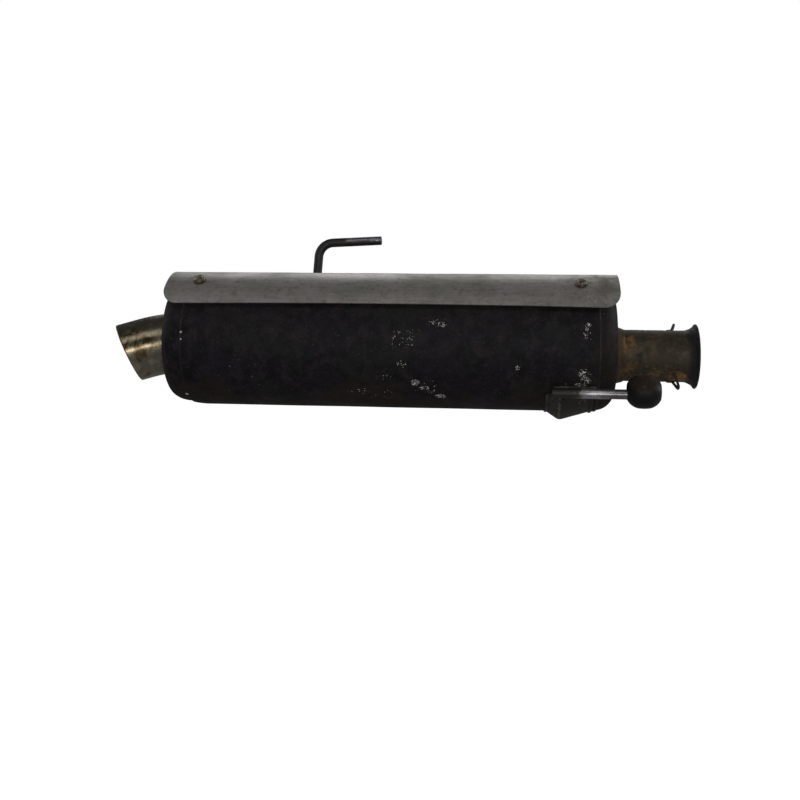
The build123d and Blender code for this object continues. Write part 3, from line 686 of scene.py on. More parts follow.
def rod_paint(bare_from, name, ground, bare_below=0.0, dull_from=None):
    """Black bar, bare from one X onwards with a ragged edge; duller from a second X onwards.

    bare_below > 0 keeps the underside black.
    """
    s = Shader(name)
    ragged = s.times(s.minus(s.noise(120, 6, 0.7), 0.5), 0.030)
    bare = s.step(s.plus(s.x, ragged), bare_from - 0.005, bare_from + 0.005)
    if bare_below:
        uneven = s.times(s.minus(s.noise(150, 6, 0.7, shift=3.0), 0.5), 1.6)
        shade = s.plus(s.up, uneven)
        bare = s.both(bare, s.step(shade, -bare_below, bare_below))
    worn = s.step(s.noise(130, 7, 0.72, shift=4.0), 0.60, 0.66)
    turned = s.noise(1, 3, 0.6, stretch=(900, 60, 60), shift=2.0)
    steel = s.mix(s.step(turned, 0.4, 0.6), tuple(c * 0.7 for c in ground), ground)
    stains = s.step(s.noise(90, 6, 0.7, shift=6.0), 0.50, 0.64)
    steel = s.lay(stains, 0.7, steel, (0.060, 0.056, 0.062))
    black = s.mix(s.noise(60, 5, 0.6, shift=8.0), (0.0050, 0.0042, 0.0048), (0.0170, 0.0145, 0.0125))
    black = s.lay(worn, 0.8, black, (0.050, 0.038, 0.028))
    if dull_from is not None:
        dull = s.step(s.plus(s.x, ragged), dull_from - 0.006, dull_from + 0.010)
        steel = s.lay(dull, 0.85, steel, (0.115, 0.108, 0.106))
    tint = s.mix(bare, black, steel)
    roughness = s.blend(bare, 0.52, s.blend(turned, 0.26, 0.40))
    normal = s.bump(s.noise(300, 5, 0.65, shift=1.0), 0.22, 0.0003)
    return s.finish(tint, roughness, s.blend(bare, 0.0, 0.9), normal, specular=0.3)


def bracket_paint():
    """Folded gusset: black paint under tan grit and weld spatter, thickest on its rear slope."""
    s = Shader("spattered_bracket_paint")
    cloud = s.noise(70, 7, 0.66)
    grit = s.noise(420, 5, 0.7, shift=3.0)
    tint = s.mix(cloud, (0.0030, 0.0026, 0.0022), (0.0125, 0.0096, 0.0066))
    rear = s.step(s.x, bracket_low.x + 0.0125, bracket_low.x + 0.0095)
    patchy = s.times(s.step(cloud, 0.55, 0.7), 0.4)
    tan = s.both(s.either(rear, patchy), s.step(grit, 0.42, 0.62))
    tint = s.lay(tan, 0.8, tint, (0.052, 0.044, 0.030))
    # Painted highlight: a lighter stripe along the fold's ridge, where its edge catches light.
    ridge = s.both(
        s.step(s.gap(s.x, bracket_low.x + 0.0118), 0.0016, 0.0006),
        s.step(s.noise(150, 5, 0.6, shift=7.0), 0.36, 0.52),
    )
    tint = s.lay(ridge, 0.8, tint, (0.085, 0.075, 0.056))
    return s.finish(tint, s.blend(tan, 0.6, 0.88), 0.0, s.bump(grit, 0.55, 0.0005), specular=0.25)


def rubber():
    """Perished black rubber under brown dust that lies on what faces up."""
    s = Shader("dusty_black_rubber")
    fine = s.noise(520, 5, 0.7)
    cloud = s.noise(75, 6, 0.65, shift=2.0)
    tint = s.mix(cloud, (0.0024, 0.0020, 0.0022), (0.0070, 0.0058, 0.0052))
    lie = s.step(s.plus(s.up, s.times(s.minus(cloud, 0.5), 0.9)), 0.05, 0.60)
    tint = s.lay(lie, 0.85, tint, (0.0170, 0.0115, 0.0068))
    spots = s.both(lie, s.step(s.noise(150, 7, 0.7, shift=5.0), 0.52, 0.62))
    tint = s.lay(spots, 0.7, tint, (0.048, 0.026, 0.011))
    # Painted light: the end towards the inlet is laid lighter grey, as if lit from that side.
    front = s.both(s.step(s.x, isolator_low.x + 0.016, isolator_high.x), s.step(fine, 0.4, 0.7))
    tint = s.lay(front, 0.55, tint, (0.0150, 0.0135, 0.0115))
    cracks = s.step(s.cells(210, output="Distance", shift=1.0), 0.05, 0.02)
    normal = s.bump(fine, 0.4, 0.00025, s.bump(cloud, 0.4, 0.0008))
    return s.finish(s.mix(cracks, tint, (0.003, 0.003, 0.003)), s.blend(lie, 0.52, 0.9), 0.0, normal,
                    specular=0.16)


def screw_metal():
    s = Shader("dulled_zinc_screw")
    cloud = s.noise(260, 6, 0.68)
    tint = s.ramp(cloud, (0.38, (0.050, 0.036, 0.022)), (0.5, (0.20, 0.17, 0.12)),
                  (0.64, (0.42, 0.39, 0.33)))
    rust = s.step(s.noise(180, 6, 0.7, shift=4.0), 0.52, 0.62)
    tint = s.lay(rust, 0.7, tint, (0.075, 0.042, 0.018))
    return s.finish(tint, s.blend(rust, 0.40, 0.8), s.blend(rust, 0.9, 0.2), s.bump(cloud, 0.35, 0.0003))


def inner_steel(name, colour):
    s = Shader(name)
    soot = s.noise(30, 6, 0.65)
    grain = s.noise(1, 4, 0.7, stretch=(40, 500, 500))
    tint = s.mix(s.step(soot, 0.35, 0.65), colour, tuple(c * 0.3 for c in colour))
    tint = s.lay(grain, 0.3, tint, tuple(min(1, c * 1.4) for c in colour))
    return s.finish(tint, s.blend(soot, 0.45, 0.8), 0.7, s.bump(grain, 0.2, 0.0002))


def fibre():
    s = Shader("mineral_fibre")
    strands = s.noise(1, 6, 0.75, stretch=(1400, 300, 300))
    cloud = s.noise(60, 5, 0.6, shift=2.0)
    tint = s.mix(strands, (0.30, 0.25, 0.17), (0.62, 0.56, 0.43))
    tint = s.lay(s.step(cloud, 0.5, 0.7), 0.6, tint, (0.12, 0.10, 0.08))
    return s.finish(tint, 0.95, 0.0, s.bump(strands, 0.6, 0.0006), specular=0.1)


PAINT = can_paint()
SHEET = bare_sheet()
TAIL = tinted_stainless()
INLET = burnt_inlet()
WIRE = weld_metal("dark_spring_wire", (0.012, 0.0085, 0.0075), (0.030, 0.019, 0.014))
BLACK_WELD = weld_metal("painted_weld", (0.0080, 0.0070, 0.0075), (0.0170, 0.0120, 0.0095))
RUSTY_WELD = weld_metal("rusty_weld", (0.022, 0.017, 0.013), (0.070, 0.036, 0.015))
GRIT_WELD = weld_metal("spattered_weld", (0.014, 0.012, 0.010), (0.048, 0.042, 0.031))
TOP_ROD = rod_paint(top_rod_high.x - 37 * MM, "top_rod_black_and_bare", (0.21, 0.20, 0.22), 0.35)
LOW_ROD = rod_paint(-99 * MM, "lower_rod_black_and_bare", (0.37, 0.36, 0.37), dull_from=-78 * MM)
BRACKET = bracket_paint()
RUBBER = rubber()
SCREW = screw_metal()
STEEL = inner_steel("sooted_inner_steel", (0.30, 0.28, 0.25))
FIBRE = fibre()


# ---- Can --------------------------------------------------------------------------------------
def can_dents(x, angle):
    """Shallow dents and flat places; never proud of the true cylinder."""
    place = Vector((x * 9, math.sin(angle) * 0.9, math.cos(angle) * 0.9))
    swell = noise.noise(place * 1.3)
    dent = max(0.0, noise.noise(place * 3.1 + Vector((4, 2, 7))) - 0.25)
    return -(0.00022 * (1 + swell) + 0.0016 * dent * dent)


def lathe(profile, cz, count, warp=None, cy=0.0):
    return [circle(x, cy, cz, r, count, warp) for x, r in profile]


taper_rise = CAN_R - REAR_SKIRT_R - CAN_WALL
taper_r = (TAPER * TAPER + taper_rise * taper_rise) / (2 * taper_rise)
taper_turn = math.degrees(math.asin(TAPER / taper_r))
taper_x = REAR_SEAM + TAPER
edge = 0.45 * MM
rear_lip_r = REAR_SKIRT_R + CAN_WALL
outside = span((FRONT_SEAM, CAN_R - CAN_WALL), (FRONT_SEAM, CAN_R - edge), 2)
outside += arc(FRONT_SEAM - edge, CAN_R - edge, edge, edge, 0, 90, 4)[:-1]
outside += span((FRONT_SEAM - edge, CAN_R), (taper_x, CAN_R), 96)
outside += arc(taper_x, CAN_R - taper_r, taper_r, taper_r, 90, 90 + taper_turn, 8)[:-1]
outside += span((REAR_SEAM + edge, rear_lip_r + 0.1 * MM), (REAR_SEAM, rear_lip_r - edge), 2)
outside += span((REAR_SEAM, rear_lip_r - edge), (REAR_SEAM, REAR_SKIRT_R), 2)
inner_line = [(REAR_SEAM, REAR_SKIRT_R)]
inner_line += arc(taper_x, CAN_R - CAN_WALL - taper_r, taper_r, taper_r, 90 + taper_turn, 90, 4)[1:]
inner_line += span((taper_x, CAN_R - CAN_WALL), (FRONT_SEAM, CAN_R - CAN_WALL), 12)[1:]
rings = lathe(outside, CAN_Z, 192, can_dents) + lathe(inner_line, CAN_Z, 192)
piece("can_body", *skin(rings, along=True), PAINT, stands_for=("body_shell",), slot="can_black")


def eccentric(x, z_from, r_from, z_to, r_to, steps, count):
    """Flat rings from one circle out to another whose centre is higher or lower."""
    rings = []
    for z, r in span((z_from, r_from), (z_to, r_to), steps):
        rings.append(circle(x, 0, z, r, count))
    return rings


CAP_COUNT = 160
skirt_r = CAN_R - CAN_WALL
skirt_inner_r = skirt_r - CAN_WALL
skirt_end = FRONT_SEAM - SKIRT_LAP
flat_r = skirt_r - FRONT_CORNER
corner_x = FRONT_X - FRONT_CORNER
inner_corner = FRONT_CORNER - CAN_WALL
cap = eccentric(FRONT_X, 0, INLET_R, CAN_Z, flat_r, 8, CAP_COUNT)
line = arc(corner_x, flat_r, FRONT_CORNER, FRONT_CORNER, 0, 90, 12)
line += span((corner_x - 0.4 * MM, skirt_r), (skirt_end, skirt_r), 6)
line.append((skirt_end, skirt_r))
line += span((skirt_end, skirt_inner_r), (corner_x, skirt_inner_r), 4)
line += arc(corner_x, flat_r, inner_corner, inner_corner, 90, 0, 8)
cap += lathe(line, CAN_Z, CAP_COUNT)
cap += eccentric(FRONT_X - CAN_WALL, CAN_Z, flat_r, 0, INLET_R, 5, CAP_COUNT)[1:]
cap.append(circle(FRONT_X - CAN_WALL, 0, 0, INLET_R, CAP_COUNT))
piece("front_cap", *skin(cap, along=True), PAINT, stands_for=("front_end_cap",), slot="can_black")

tail_hole_r = TAIL_R - 0.3 * MM
corner_x = REAR_X + REAR_CORNER
corner_height = REAR_SKIRT_R - REAR_FLAT_R
skirt_end = REAR_SEAM + SKIRT_LAP
cap = eccentric(REAR_X, TAIL_HOLE_Z, tail_hole_r, CAN_Z, REAR_FLAT_R, 5, CAP_COUNT)
line = arc(corner_x, REAR_FLAT_R, REAR_CORNER, corner_height, 180, 90, 22)
line += span((corner_x + 1 * MM, REAR_SKIRT_R), (skirt_end, REAR_SKIRT_R), 5)
line += [(skirt_end, REAR_SKIRT_R), (skirt_end, REAR_SKIRT_R - CAN_WALL)]
line += arc(corner_x, REAR_FLAT_R, REAR_CORNER - CAN_WALL, corner_height - CAN_WALL, 90, 180, 12)
cap += lathe(line, CAN_Z, CAP_COUNT)
cap += eccentric(REAR_X + CAN_WALL, CAN_Z, REAR_FLAT_R, TAIL_HOLE_Z, tail_hole_r, 4, CAP_COUNT)[1:]
cap.append(circle(REAR_X + CAN_WALL, 0, TAIL_HOLE_Z, tail_hole_r, CAP_COUNT))
piece("rear_cap", *skin(cap, along=True), PAINT, stands_for=("rear_end_cap",), slot="can_black")


# ---- Inlet ------------------------------------------------------------------------------------
def scale_skin(x, angle):
    """Burnt scale; never proud of the true pipe."""
    place = (x, INLET_R * math.sin(angle), INLET_R * math.cos(angle))
    return -0.00022 * abs(rough(place, 160, 4)) - 0.00012 * (1 + rough(place, 45, 2))


bell_centre = INLET_R - INLET_WALL / 2 + BELL_R
line = span((pipe_low.x, INLET_R), (FRONT_X, INLET_R), 4) + span((FRONT_X, INLET_R), (0, INLET_R), 50)
bell_end = math.degrees(BELL_TURN) - 90
outer_arc = BELL_R - INLET_WALL / 2
inner_arc = BELL_R + INLET_WALL / 2
line += arc(0, bell_centre, outer_arc, outer_arc, -90, bell_end, 14)[:-1]
lip_x = BELL_R * math.sin(BELL_TURN)
lip_z = bell_centre - BELL_R * math.cos(BELL_TURN)
line += arc(lip_x, lip_z, LIP_R, LIP_R, 160, -110, 14)
line += arc(0, bell_centre, inner_arc, inner_arc, bell_end - 4, -90, 12)
line += span((0, INLET_R - INLET_WALL), (pipe_low.x, INLET_R - INLET_WALL), 24)[1:]
line.append((pipe_low.x, INLET_R - INLET_WALL))
piece("inlet_pipe_skin", *skin(lathe(line, 0, 144, scale_skin), along=True), INLET,
      stands_for=("inlet_pipe",), slot="rusty_steel")


def lumps(x, angle):
    return -0.0005 * abs(rough((x * 2, 0.028 * math.sin(angle), 0.028 * math.cos(angle)), 120, 3))


base_r = (collar_high.y - collar_low.y) / 2
line = [(collar_low.x, INLET_R), (collar_low.x, base_r - 0.6 * MM), (collar_low.x + 0.5 * MM, base_r)]
neck_end = (collar_low.x + COLLAR_NECK, base_r)
line += span((collar_low.x + 1 * MM, base_r), neck_end, 3)
line += span(neck_end, (collar_high.x - 0.5 * MM, INLET_R + 0.7 * MM), 12)
line += [(collar_high.x - 0.1 * MM, INLET_R + 0.4 * MM), (collar_high.x, INLET_R)]
piece("inlet_collar_skin", *skin(lathe(line, 0, 144, lumps), along=True), INLET,
      stands_for=("inlet_collar",), slot="rusty_steel")


def ring_weld(name, x, cz, r, facing, material):
    """A weld round a pipe where it meets a cap; facing is the bead's normal, along X and outwards."""
    points, normals = [], []
    for j in range(240):
        turn = TAU * j / 240
        out = Vector((0, math.sin(turn), math.cos(turn)))
        points.append(Vector((x, 0, cz)) + out * r)
        normals.append(out * facing[1] + Vector((facing[0], 0, 0)))
    weld(name, points, normals, 1.5 * MM, material, closed=True)


ring_weld("weld_inlet_collar", FRONT_X + 0.3 * MM, 0, base_r + 0.3 * MM, (0.75, 0.66), RUSTY_WELD)


# ---- Tail pipe --------------------------------------------------------------------------------
away = Vector((-1, 0, 0))
down = Vector((0, -math.sin(TAIL_TURN), -math.cos(TAIL_TURN)))
across = away.cross(down)
face_point = Vector((REAR_X, 0, TAIL_HOLE_Z))


def tail_local(a, b):
    return face_point + away * a + down * b


def bend_step(angle):
    """From the bend's start to where the pipe has turned to an angle."""
    return Vector(
        (math.sin(angle) - math.sin(TAIL_ENTRY), math.cos(TAIL_ENTRY) - math.cos(angle))
    ) * TAIL_BEND_R


bend_start = Vector((TAIL_OUTER_RUN, TAIL_OUTER_RUN * math.tan(TAIL_ENTRY)))
bend_end = bend_start + bend_step(TAIL_LEAVE)
mouth = bend_end + Vector((math.cos(TAIL_LEAVE), math.sin(TAIL_LEAVE))) * TAIL_END_RUN
start = Vector((-TAIL_INNER_RUN, -TAIL_INNER_RUN * math.tan(TAIL_ENTRY)))
stations = [(start + (bend_start - start) * i / 18, TAIL_ENTRY) for i in range(18)]
for i in range(19):
    angle = TAIL_ENTRY + (TAIL_LEAVE - TAIL_ENTRY) * i / 18
    stations.append((bend_start + bend_step(angle), angle))
level = Vector((math.cos(SLASH_YAW), math.sin(SLASH_YAW), 0))
slash = Vector((math.cos(SLASH_LEAN) * level.x, level.y, math.sin(SLASH_LEAN) * level.x))
mouth_point = tail_local(*mouth)
end_direction = away * math.cos(TAIL_LEAVE) + down * math.sin(TAIL_LEAVE)
end_side = down * math.cos(TAIL_LEAVE) - away * math.sin(TAIL_LEAVE)
TAIL_COUNT = 128


def tail_ring(centre, angle, r):
    direction = down * math.cos(angle) - away * math.sin(angle)
    return loop(centre, direction, across, r, TAIL_COUNT)


def mouth_ring(r, share, back):
    """A ring between the bend's end and the slash plane, back from the plane by a distance."""
    ring = []
    for point in loop(tail_local(*bend_end), end_side, across, r, TAIL_COUNT):
        reach = (mouth_point - point).dot(slash) / end_direction.dot(slash)
        ring.append(point + end_direction * ((reach - back) * share))
    return ring


rings = [tail_ring(tail_local(*p), a, TAIL_R) for p, a in stations]
rings += [mouth_ring(TAIL_R, i / 14, 0.8 * MM) for i in range(1, 15)]
lip = TAIL_WALL / 2
for i in range(1, 8):
    turn = math.pi * i / 8
    rings.append(mouth_ring(TAIL_R - lip + lip * math.cos(turn), 1.0, 0.8 * MM - lip * math.sin(turn)))
rings += [mouth_ring(TAIL_R - TAIL_WALL, i / 8, 0.8 * MM) for i in range(8, 0, -1)]
rings += [tail_ring(tail_local(*p), a, TAIL_R - TAIL_WALL) for p, a in reversed(stations)]
piece("tail_pipe_skin", *skin(rings, along=True), TAIL,
      stands_for=("tail_pipe",), slot="tinted_stainless")

diagonal = math.sqrt(0.5)
facing = (-diagonal, diagonal)
ring_weld("weld_tail_pipe", REAR_X - 0.2 * MM, TAIL_HOLE_Z, TAIL_R + 0.5 * MM, facing, BLACK_WELD)


# ---- Heat shield ------------------------------------------------------------------------------
def shield_point(u, v, inset):
    """A point of the sheet, inset below its top face.

    u and v run from -1 to 1 along the can and across the sheet. The sheet is drawn down to the
    stand-offs round each screw, wavy near its long edges, and faintly uneven all over.
    """
    half = (shield_high.x - shield_low.x) / 2
    middle = (shield_high.x + shield_low.x) / 2
    height = SHIELD_EDGE + SHIELD_BOW * (1 - u * u)
    limit = math.acos(height / SHIELD_R)
    angle = v * limit
    above = SHIELD_R * math.cos(angle) - height
    cut = 0.0
    if above < SHIELD_CORNER:
        cut = SHIELD_CORNER - math.sqrt(max(0.0, SHIELD_CORNER**2 - (SHIELD_CORNER - above) ** 2))
    x = middle + u * (half - cut)
    r = SHIELD_R + 0.6 * MM * u
    for screw_x in SCREW_XS:
        for side in (-1, 1):
            around = SHIELD_R * (angle - side * SCREW_LEAN)
            gap = ((x - screw_x) ** 2 + around**2) / (14 * MM) ** 2
            r += (SHIELD_R - 0.25 * MM - r) * math.exp(-gap)
    edge_near = abs(v) ** 6
    r += 0.5 * MM * edge_near * noise.noise(Vector((x * 14, v * 2, 3)))
    r += 0.22 * MM * noise.noise(Vector((x * 22, angle * 2.2, 9)))
    r -= inset
    return Vector((x, r * math.sin(angle), CAN_Z + r * math.cos(angle)))


def eased(count):
    """Values from -1 to 1 that crowd towards both ends."""
    values = []
    for i in range(count + 1):
        t = 2 * i / count - 1
        values.append(math.copysign(1 - (1 - abs(t)) ** 1.7, t))
    return values


us, vs = eased(150), eased(72)
top = [[shield_point(u, v, 0.0) for v in vs] for u in us]
bottom = [[shield_point(u, v, SHIELD_SHEET) for v in vs] for u in us]
verts, faces = sheet(top, bottom)
shield = piece("heat_shield_sheet", verts, faces, SHEET, stands_for=("heat_shield",), slot="bare_steel")
round_edges(shield, 0.3 * MM, 3, harden=True)

# ---- Screws -----------------------------------------------------------------------------------
# (height above the shield, radius) in millimetres, up the outside and down into the head's dish.
# Round the head the radius is that of the circle that trims the hexagon's corners.
SHANK_AND_WASHER = (
    (-5.0, 2.3), (-0.1, 2.4), (0.0, 2.6), (0.0, 4.7), (0.15, 4.9), (0.55, 4.9), (0.6, 4.95),
)
HEAD = ((0.7, 5.45), (1.0, 5.72), (2.9, 5.72), (3.35, 5.45), (3.65, 5.1), (3.8, 4.6))
DISH = ((3.78, 3.7), (3.6, 3.35), (3.1, 3.05), (2.65, 2.6), (2.45, 1.6), (2.4, 0.4))
SCREW_COUNT = 48


def hex_reach(angle, round_r):
    """Distance to a hexagon's side at an angle, held inside a circle for the chamfer."""
    nearest = (angle + math.pi / 6) % (math.pi / 3) - math.pi / 6
    return min(HEX_HALF / math.cos(nearest), round_r)


def screw_ring(seat, axis, turn, height, r, hexagon=False):
    first = Vector((1, 0, 0))
    second = axis.cross(first)
    ring = []
    for j in range(SCREW_COUNT):
        angle = TAU * j / SCREW_COUNT
        reach = hex_reach(angle, r * MM) if hexagon else r * MM
        outwards = first * math.cos(angle + turn) + second * math.sin(angle + turn)
        ring.append(seat + axis * height * MM + outwards * reach)
    return ring


screw_no = 0
for screw_x in SCREW_XS:
    for side in (-1, 1):
        screw_no += 1
        axis = Vector((0, side * math.sin(SCREW_LEAN), math.cos(SCREW_LEAN)))
        seat = Vector((screw_x, 0, CAN_Z)) + axis * (SHIELD_R + 0.02 * MM)
        place = (seat, axis, 0.35 * screw_no)
        rings = [screw_ring(*place, height, r) for height, r in SHANK_AND_WASHER]
        rings += [screw_ring(*place, height, r, hexagon=True) for height, r in HEAD]
        rings += [screw_ring(*place, height, r) for height, r in DISH]
        stands = ("shield_screws",) if screw_no == 1 else ()
        piece(f"shield_screw_{screw_no}", *capped(rings), SCREW, stands_for=stands, slot="zinc_screw")

# ---- Spring loops -----------------------------------------------------------------------------
HOOK_FOOT_HALF = 8.5 * MM
HOOK_TIP_HALF = 2.5 * MM
HOOK_ROOT = 2.2 * MM
HOOK_CUT = 1.7 * MM
HOOK_WELD_X = -11.2 * MM


def hook_path(height):
    """The bent wire's line in its own plane: up from one foot, across the tip and down again."""
    corners = [
        Vector((-HOOK_FOOT_HALF, -HOOK_ROOT)),
        Vector((-HOOK_TIP_HALF, height)),
        Vector((HOOK_TIP_HALF, height)),
        Vector((HOOK_FOOT_HALF, -HOOK_ROOT)),
    ]
    line = [corners[0]]
    for before, here, after in zip(corners, corners[1:], corners[2:]):
        into = here + (before - here).normalized() * HOOK_CUT
        out_of = here + (after - here).normalized() * HOOK_CUT
        line += curve_through(into, here, out_of, 8)
    line.append(corners[3])
    dense = []
    for a, b in zip(line, line[1:]):
        dense += dense_line(a, b, max(1, int((b - a).length / (0.5 * MM))))
    return dense + [line[-1]]


for name, side in (("spring_hook_lower", -1), ("spring_hook_upper", 1)):
    out = Vector((0, side * math.cos(HOOK_RISE), side * math.sin(HOOK_RISE)))
    along = Vector((0, -out.z, out.y))
    foot = Vector((HOOK_FOOT_X, 0, 0)) + out * INLET_R
    lean_to = Vector((HOOK_TIP_X, 0, 0)) + out * HOOK_TIP_R - foot
    height = lean_to.length
    lean_to.normalize()
    path = [foot + along * p.x + lean_to * p.y for p in hook_path(height)]
    rings = tube(path, [HOOK_WIRE_R * (1 + 0.03 * rough(p, 300)) for p in path], 16)
    piece(name + "_wire", *capped(rings), WIRE, stands_for=(name,), slot="rusty_steel")
    for end, letter in ((-1, "a"), (1, "b")):
        turn = end * 8.1 * MM / INLET_R
        normal = (out * math.cos(turn) + along * math.sin(turn)).normalized()
        tangent = (along * math.cos(turn) - out * math.sin(turn)).normalized()
        centre = Vector((HOOK_WELD_X, 0, 0)) + normal * (INLET_R + 0.1 * MM)
        points = loop(centre, Vector((1.55, 0, 0)), tangent, 2.0 * MM, 28)
        weld(f"weld_{name}_{letter}", points, [normal] * 28, 1.25 * MM, RUSTY_WELD, closed=True)

# ---- Hangers ----------------------------------------------------------------------------------
BAR_CUT = 1.1 * MM
TIP_STEPS = ((0.0, 0.80), (0.12, 0.88), (0.35, 0.945), (0.7, 0.985), (1.0, 1.0))


def bar(name, node, path, material):
    """A round bar along a path with both ends rounded, a hair thinner than its CAD rod."""
    first = (path[1] - path[0]).normalized()
    last = (path[-1] - path[-2]).normalized()
    head = [path[0] + first * BAR_CUT * step for step, share in TIP_STEPS]
    tail = [path[-1] - last * BAR_CUT * step for step, share in TIP_STEPS[::-1]]
    shares = [share for step, share in TIP_STEPS]
    clear = BAR_CUT * 1.3
    body = [p for p in path if (p - path[0]).length > clear and (p - path[-1]).length > clear]
    shares = shares + [1.0] * len(body) + shares[::-1]
    path = head + body + tail
    thin = ROD_R - 0.04 * MM
    radii = [thin * share * (1 + 0.004 * rough(p, 90)) for p, share in zip(path, shares)]
    rings = tube(path, radii, 40)
    piece(name, *capped(rings), material, stands_for=(node,), slot="rod_black")


rod_y = (top_rod_low.y + top_rod_high.y) / 2
foot = Vector((TOP_FOOT_X, rod_y, CAN_Z + TOP_FOOT_HEIGHT))
corner = Vector((TOP_CORNER_X, rod_y, CAN_Z + TOP_CORNER_HEIGHT))
tip = Vector((TOP_TIP_X, rod_y, CAN_Z + TOP_TIP_HEIGHT))
to_foot, to_tip = (foot - corner).normalized(), (tip - corner).normalized()
inner_angle = to_foot.angle(to_tip)
reach = TOP_BEND_R / math.tan(inner_angle / 2)
centre = corner + (to_foot + to_tip).normalized() * (TOP_BEND_R / math.sin(inner_angle / 2))
bend_from, bend_to = corner + to_foot * reach, corner + to_tip * reach
spoke = bend_from - centre
turn_axis = spoke.cross(bend_to - centre).normalized()
path = dense_line(foot, bend_from, 40)
for i in range(17):
    turn = (math.pi - inner_angle) * i / 16
    path.append(centre + Matrix.Rotation(turn, 3, turn_axis) @ spoke)
path += dense_line(bend_to, tip, 26)[1:] + [tip]
bar("top_hanger_bar", "top_hanger_rod", path, TOP_ROD)

low_y = (low_rod_low.y + low_rod_high.y) / 2
low_z = (low_rod_low.z + low_rod_high.z) / 2
low_end = Vector((low_rod_high.x, low_y, low_z))
path = dense_line(Vector((low_rod_low.x, low_y, low_z)), low_end, 60) + [low_end]
bar("lower_hanger_bar", "lower_hanger_rod", path, LOW_ROD)

# Beads up both sides of the top bar's foot, where it lies against the can.
for name, side in (("a", -1), ("b", 1)):
    points, normals = [], []
    for i in range(70):
        height = -20 * MM + 44 * MM * i / 69
        up_bar = (height - TOP_FOOT_HEIGHT) / (TOP_CORNER_HEIGHT - TOP_FOOT_HEIGHT)
        x = foot.x + (corner.x - foot.x) * up_bar + side * 3.4 * MM
        r = CAN_R + 2 * MM
        y = math.sqrt(max(0, r * r - height * height)) + 0.6 * MM
        points.append(Vector((x, y, CAN_Z + height)))
        normals.append(Vector((side * 0.6, 0.8, 0)).normalized())
    weld(f"weld_top_bar_{name}", points, normals, 2.0 * MM, BLACK_WELD)

# Beads along both sides of the lower bar, from its end to the front seam.
rod_angle = math.atan2(low_z - CAN_Z, low_y)
start, end = low_rod_low.x + 1 * MM, FRONT_SEAM - 2 * MM
for name, side in (("a", -1), ("b", 1)):
    angle = rod_angle + side * 3.1 * MM / CAN_R
    out = Vector((0, math.cos(angle), math.sin(angle)))
    on_can = Vector((0, 0, CAN_Z)) + out * (CAN_R + 0.5 * MM)
    points = [Vector((start + (end - start) * i / 59, 0, 0)) + on_can for i in range(60)]
    weld(f"weld_lower_bar_{name}", points, [out] * 60, 1.9 * MM, GRIT_WELD)

# ---- Gusset under the lower bar ---------------------------------------------------------------
ridge_x = bracket_low.x + RIDGE_FROM_REAR


def gusset_line(grow):
    """(x, r) along the folded sheet, moved in by grow."""
    rear = Vector((bracket_low.x, CAN_R))
    ridge = Vector((ridge_x, RIDGE_R))
    front = Vector((bracket_high.x, CAN_R))
    rear_dir, front_dir = (ridge - rear).normalized(), (front - ridge).normalized()
    rear_in = Vector((rear_dir.y, -rear_dir.x)) * grow
    front_in = Vector((front_dir.y, -front_dir.x)) * grow
    a1, a2 = rear + rear_in, ridge + rear_in
    b1, b2 = ridge + front_in, front + front_in
    d1, d2 = a2 - a1, b2 - b1
    det = d1.x * d2.y - d1.y * d2.x
    t = ((b1.x - a1.x) * d2.y - (b1.y - a1.y) * d2.x) / det
    apex = a1 + d1 * t
    foot_a = a1 + d1 * ((CAN_R - a1.y) / d1.y)
    foot_b = b1 + d2 * ((CAN_R - b1.y) / d2.y)
    cut = max(0.6 * MM, 3.2 * MM - grow)
    curve_from = apex + (foot_a - apex).normalized() * cut
    curve_to = apex + (foot_b - apex).normalized() * cut
    points = dense_line(foot_a, curve_from, 6)
    points += curve_through(curve_from, apex, curve_to, 8)
    return points + [curve_to + (foot_b - curve_to) * i / 12 for i in range(1, 13)]


top_line, low_line = gusset_line(0.0), gusset_line(GUSSET_SHEET)
sections = []
for i in range(49):
    angle = GUSSET_START + GUSSET_SWEEP * i / 48
    out = Vector((0, math.cos(angle), math.sin(angle)))
    ring = []
    for p in top_line + low_line[::-1]:
        dent = 0.0
        if p.y > CAN_R + 0.5 * MM:
            dent = abs(0.25 * MM * rough((p.x, angle * 0.05, p.y), 60))
        ring.append(Vector((p.x, 0, CAN_Z)) + out * (p.y - dent))
    sections.append(ring)
verts, faces = skin(sections)
width = len(top_line)
total = 2 * width
for base in (0, (len(sections) - 1) * total):
    for k in range(width - 1):
        faces.append((base + k, base + k + 1, base + total - 2 - k, base + total - 1 - k))
gusset = piece("gusset_sheet", verts, faces, BRACKET,
               stands_for=("lower_hanger_bracket",), slot="bracket_black")
round_edges(gusset, 0.35 * MM, 2)

edges = (("rear", bracket_low.x, GRIT_WELD), ("front", bracket_high.x, BLACK_WELD))
for name, x, material in edges:
    points, normals = [], []
    for i in range(90):
        angle = GUSSET_START + GUSSET_SWEEP * (0.02 + 0.96 * i / 89)
        out = Vector((0, math.cos(angle), math.sin(angle)))
        points.append(Vector((x, 0, CAN_Z)) + out * (CAN_R + 0.3 * MM))
        normals.append(out)
    weld(f"weld_gusset_{name}", points, normals, 1.5 * MM, material)

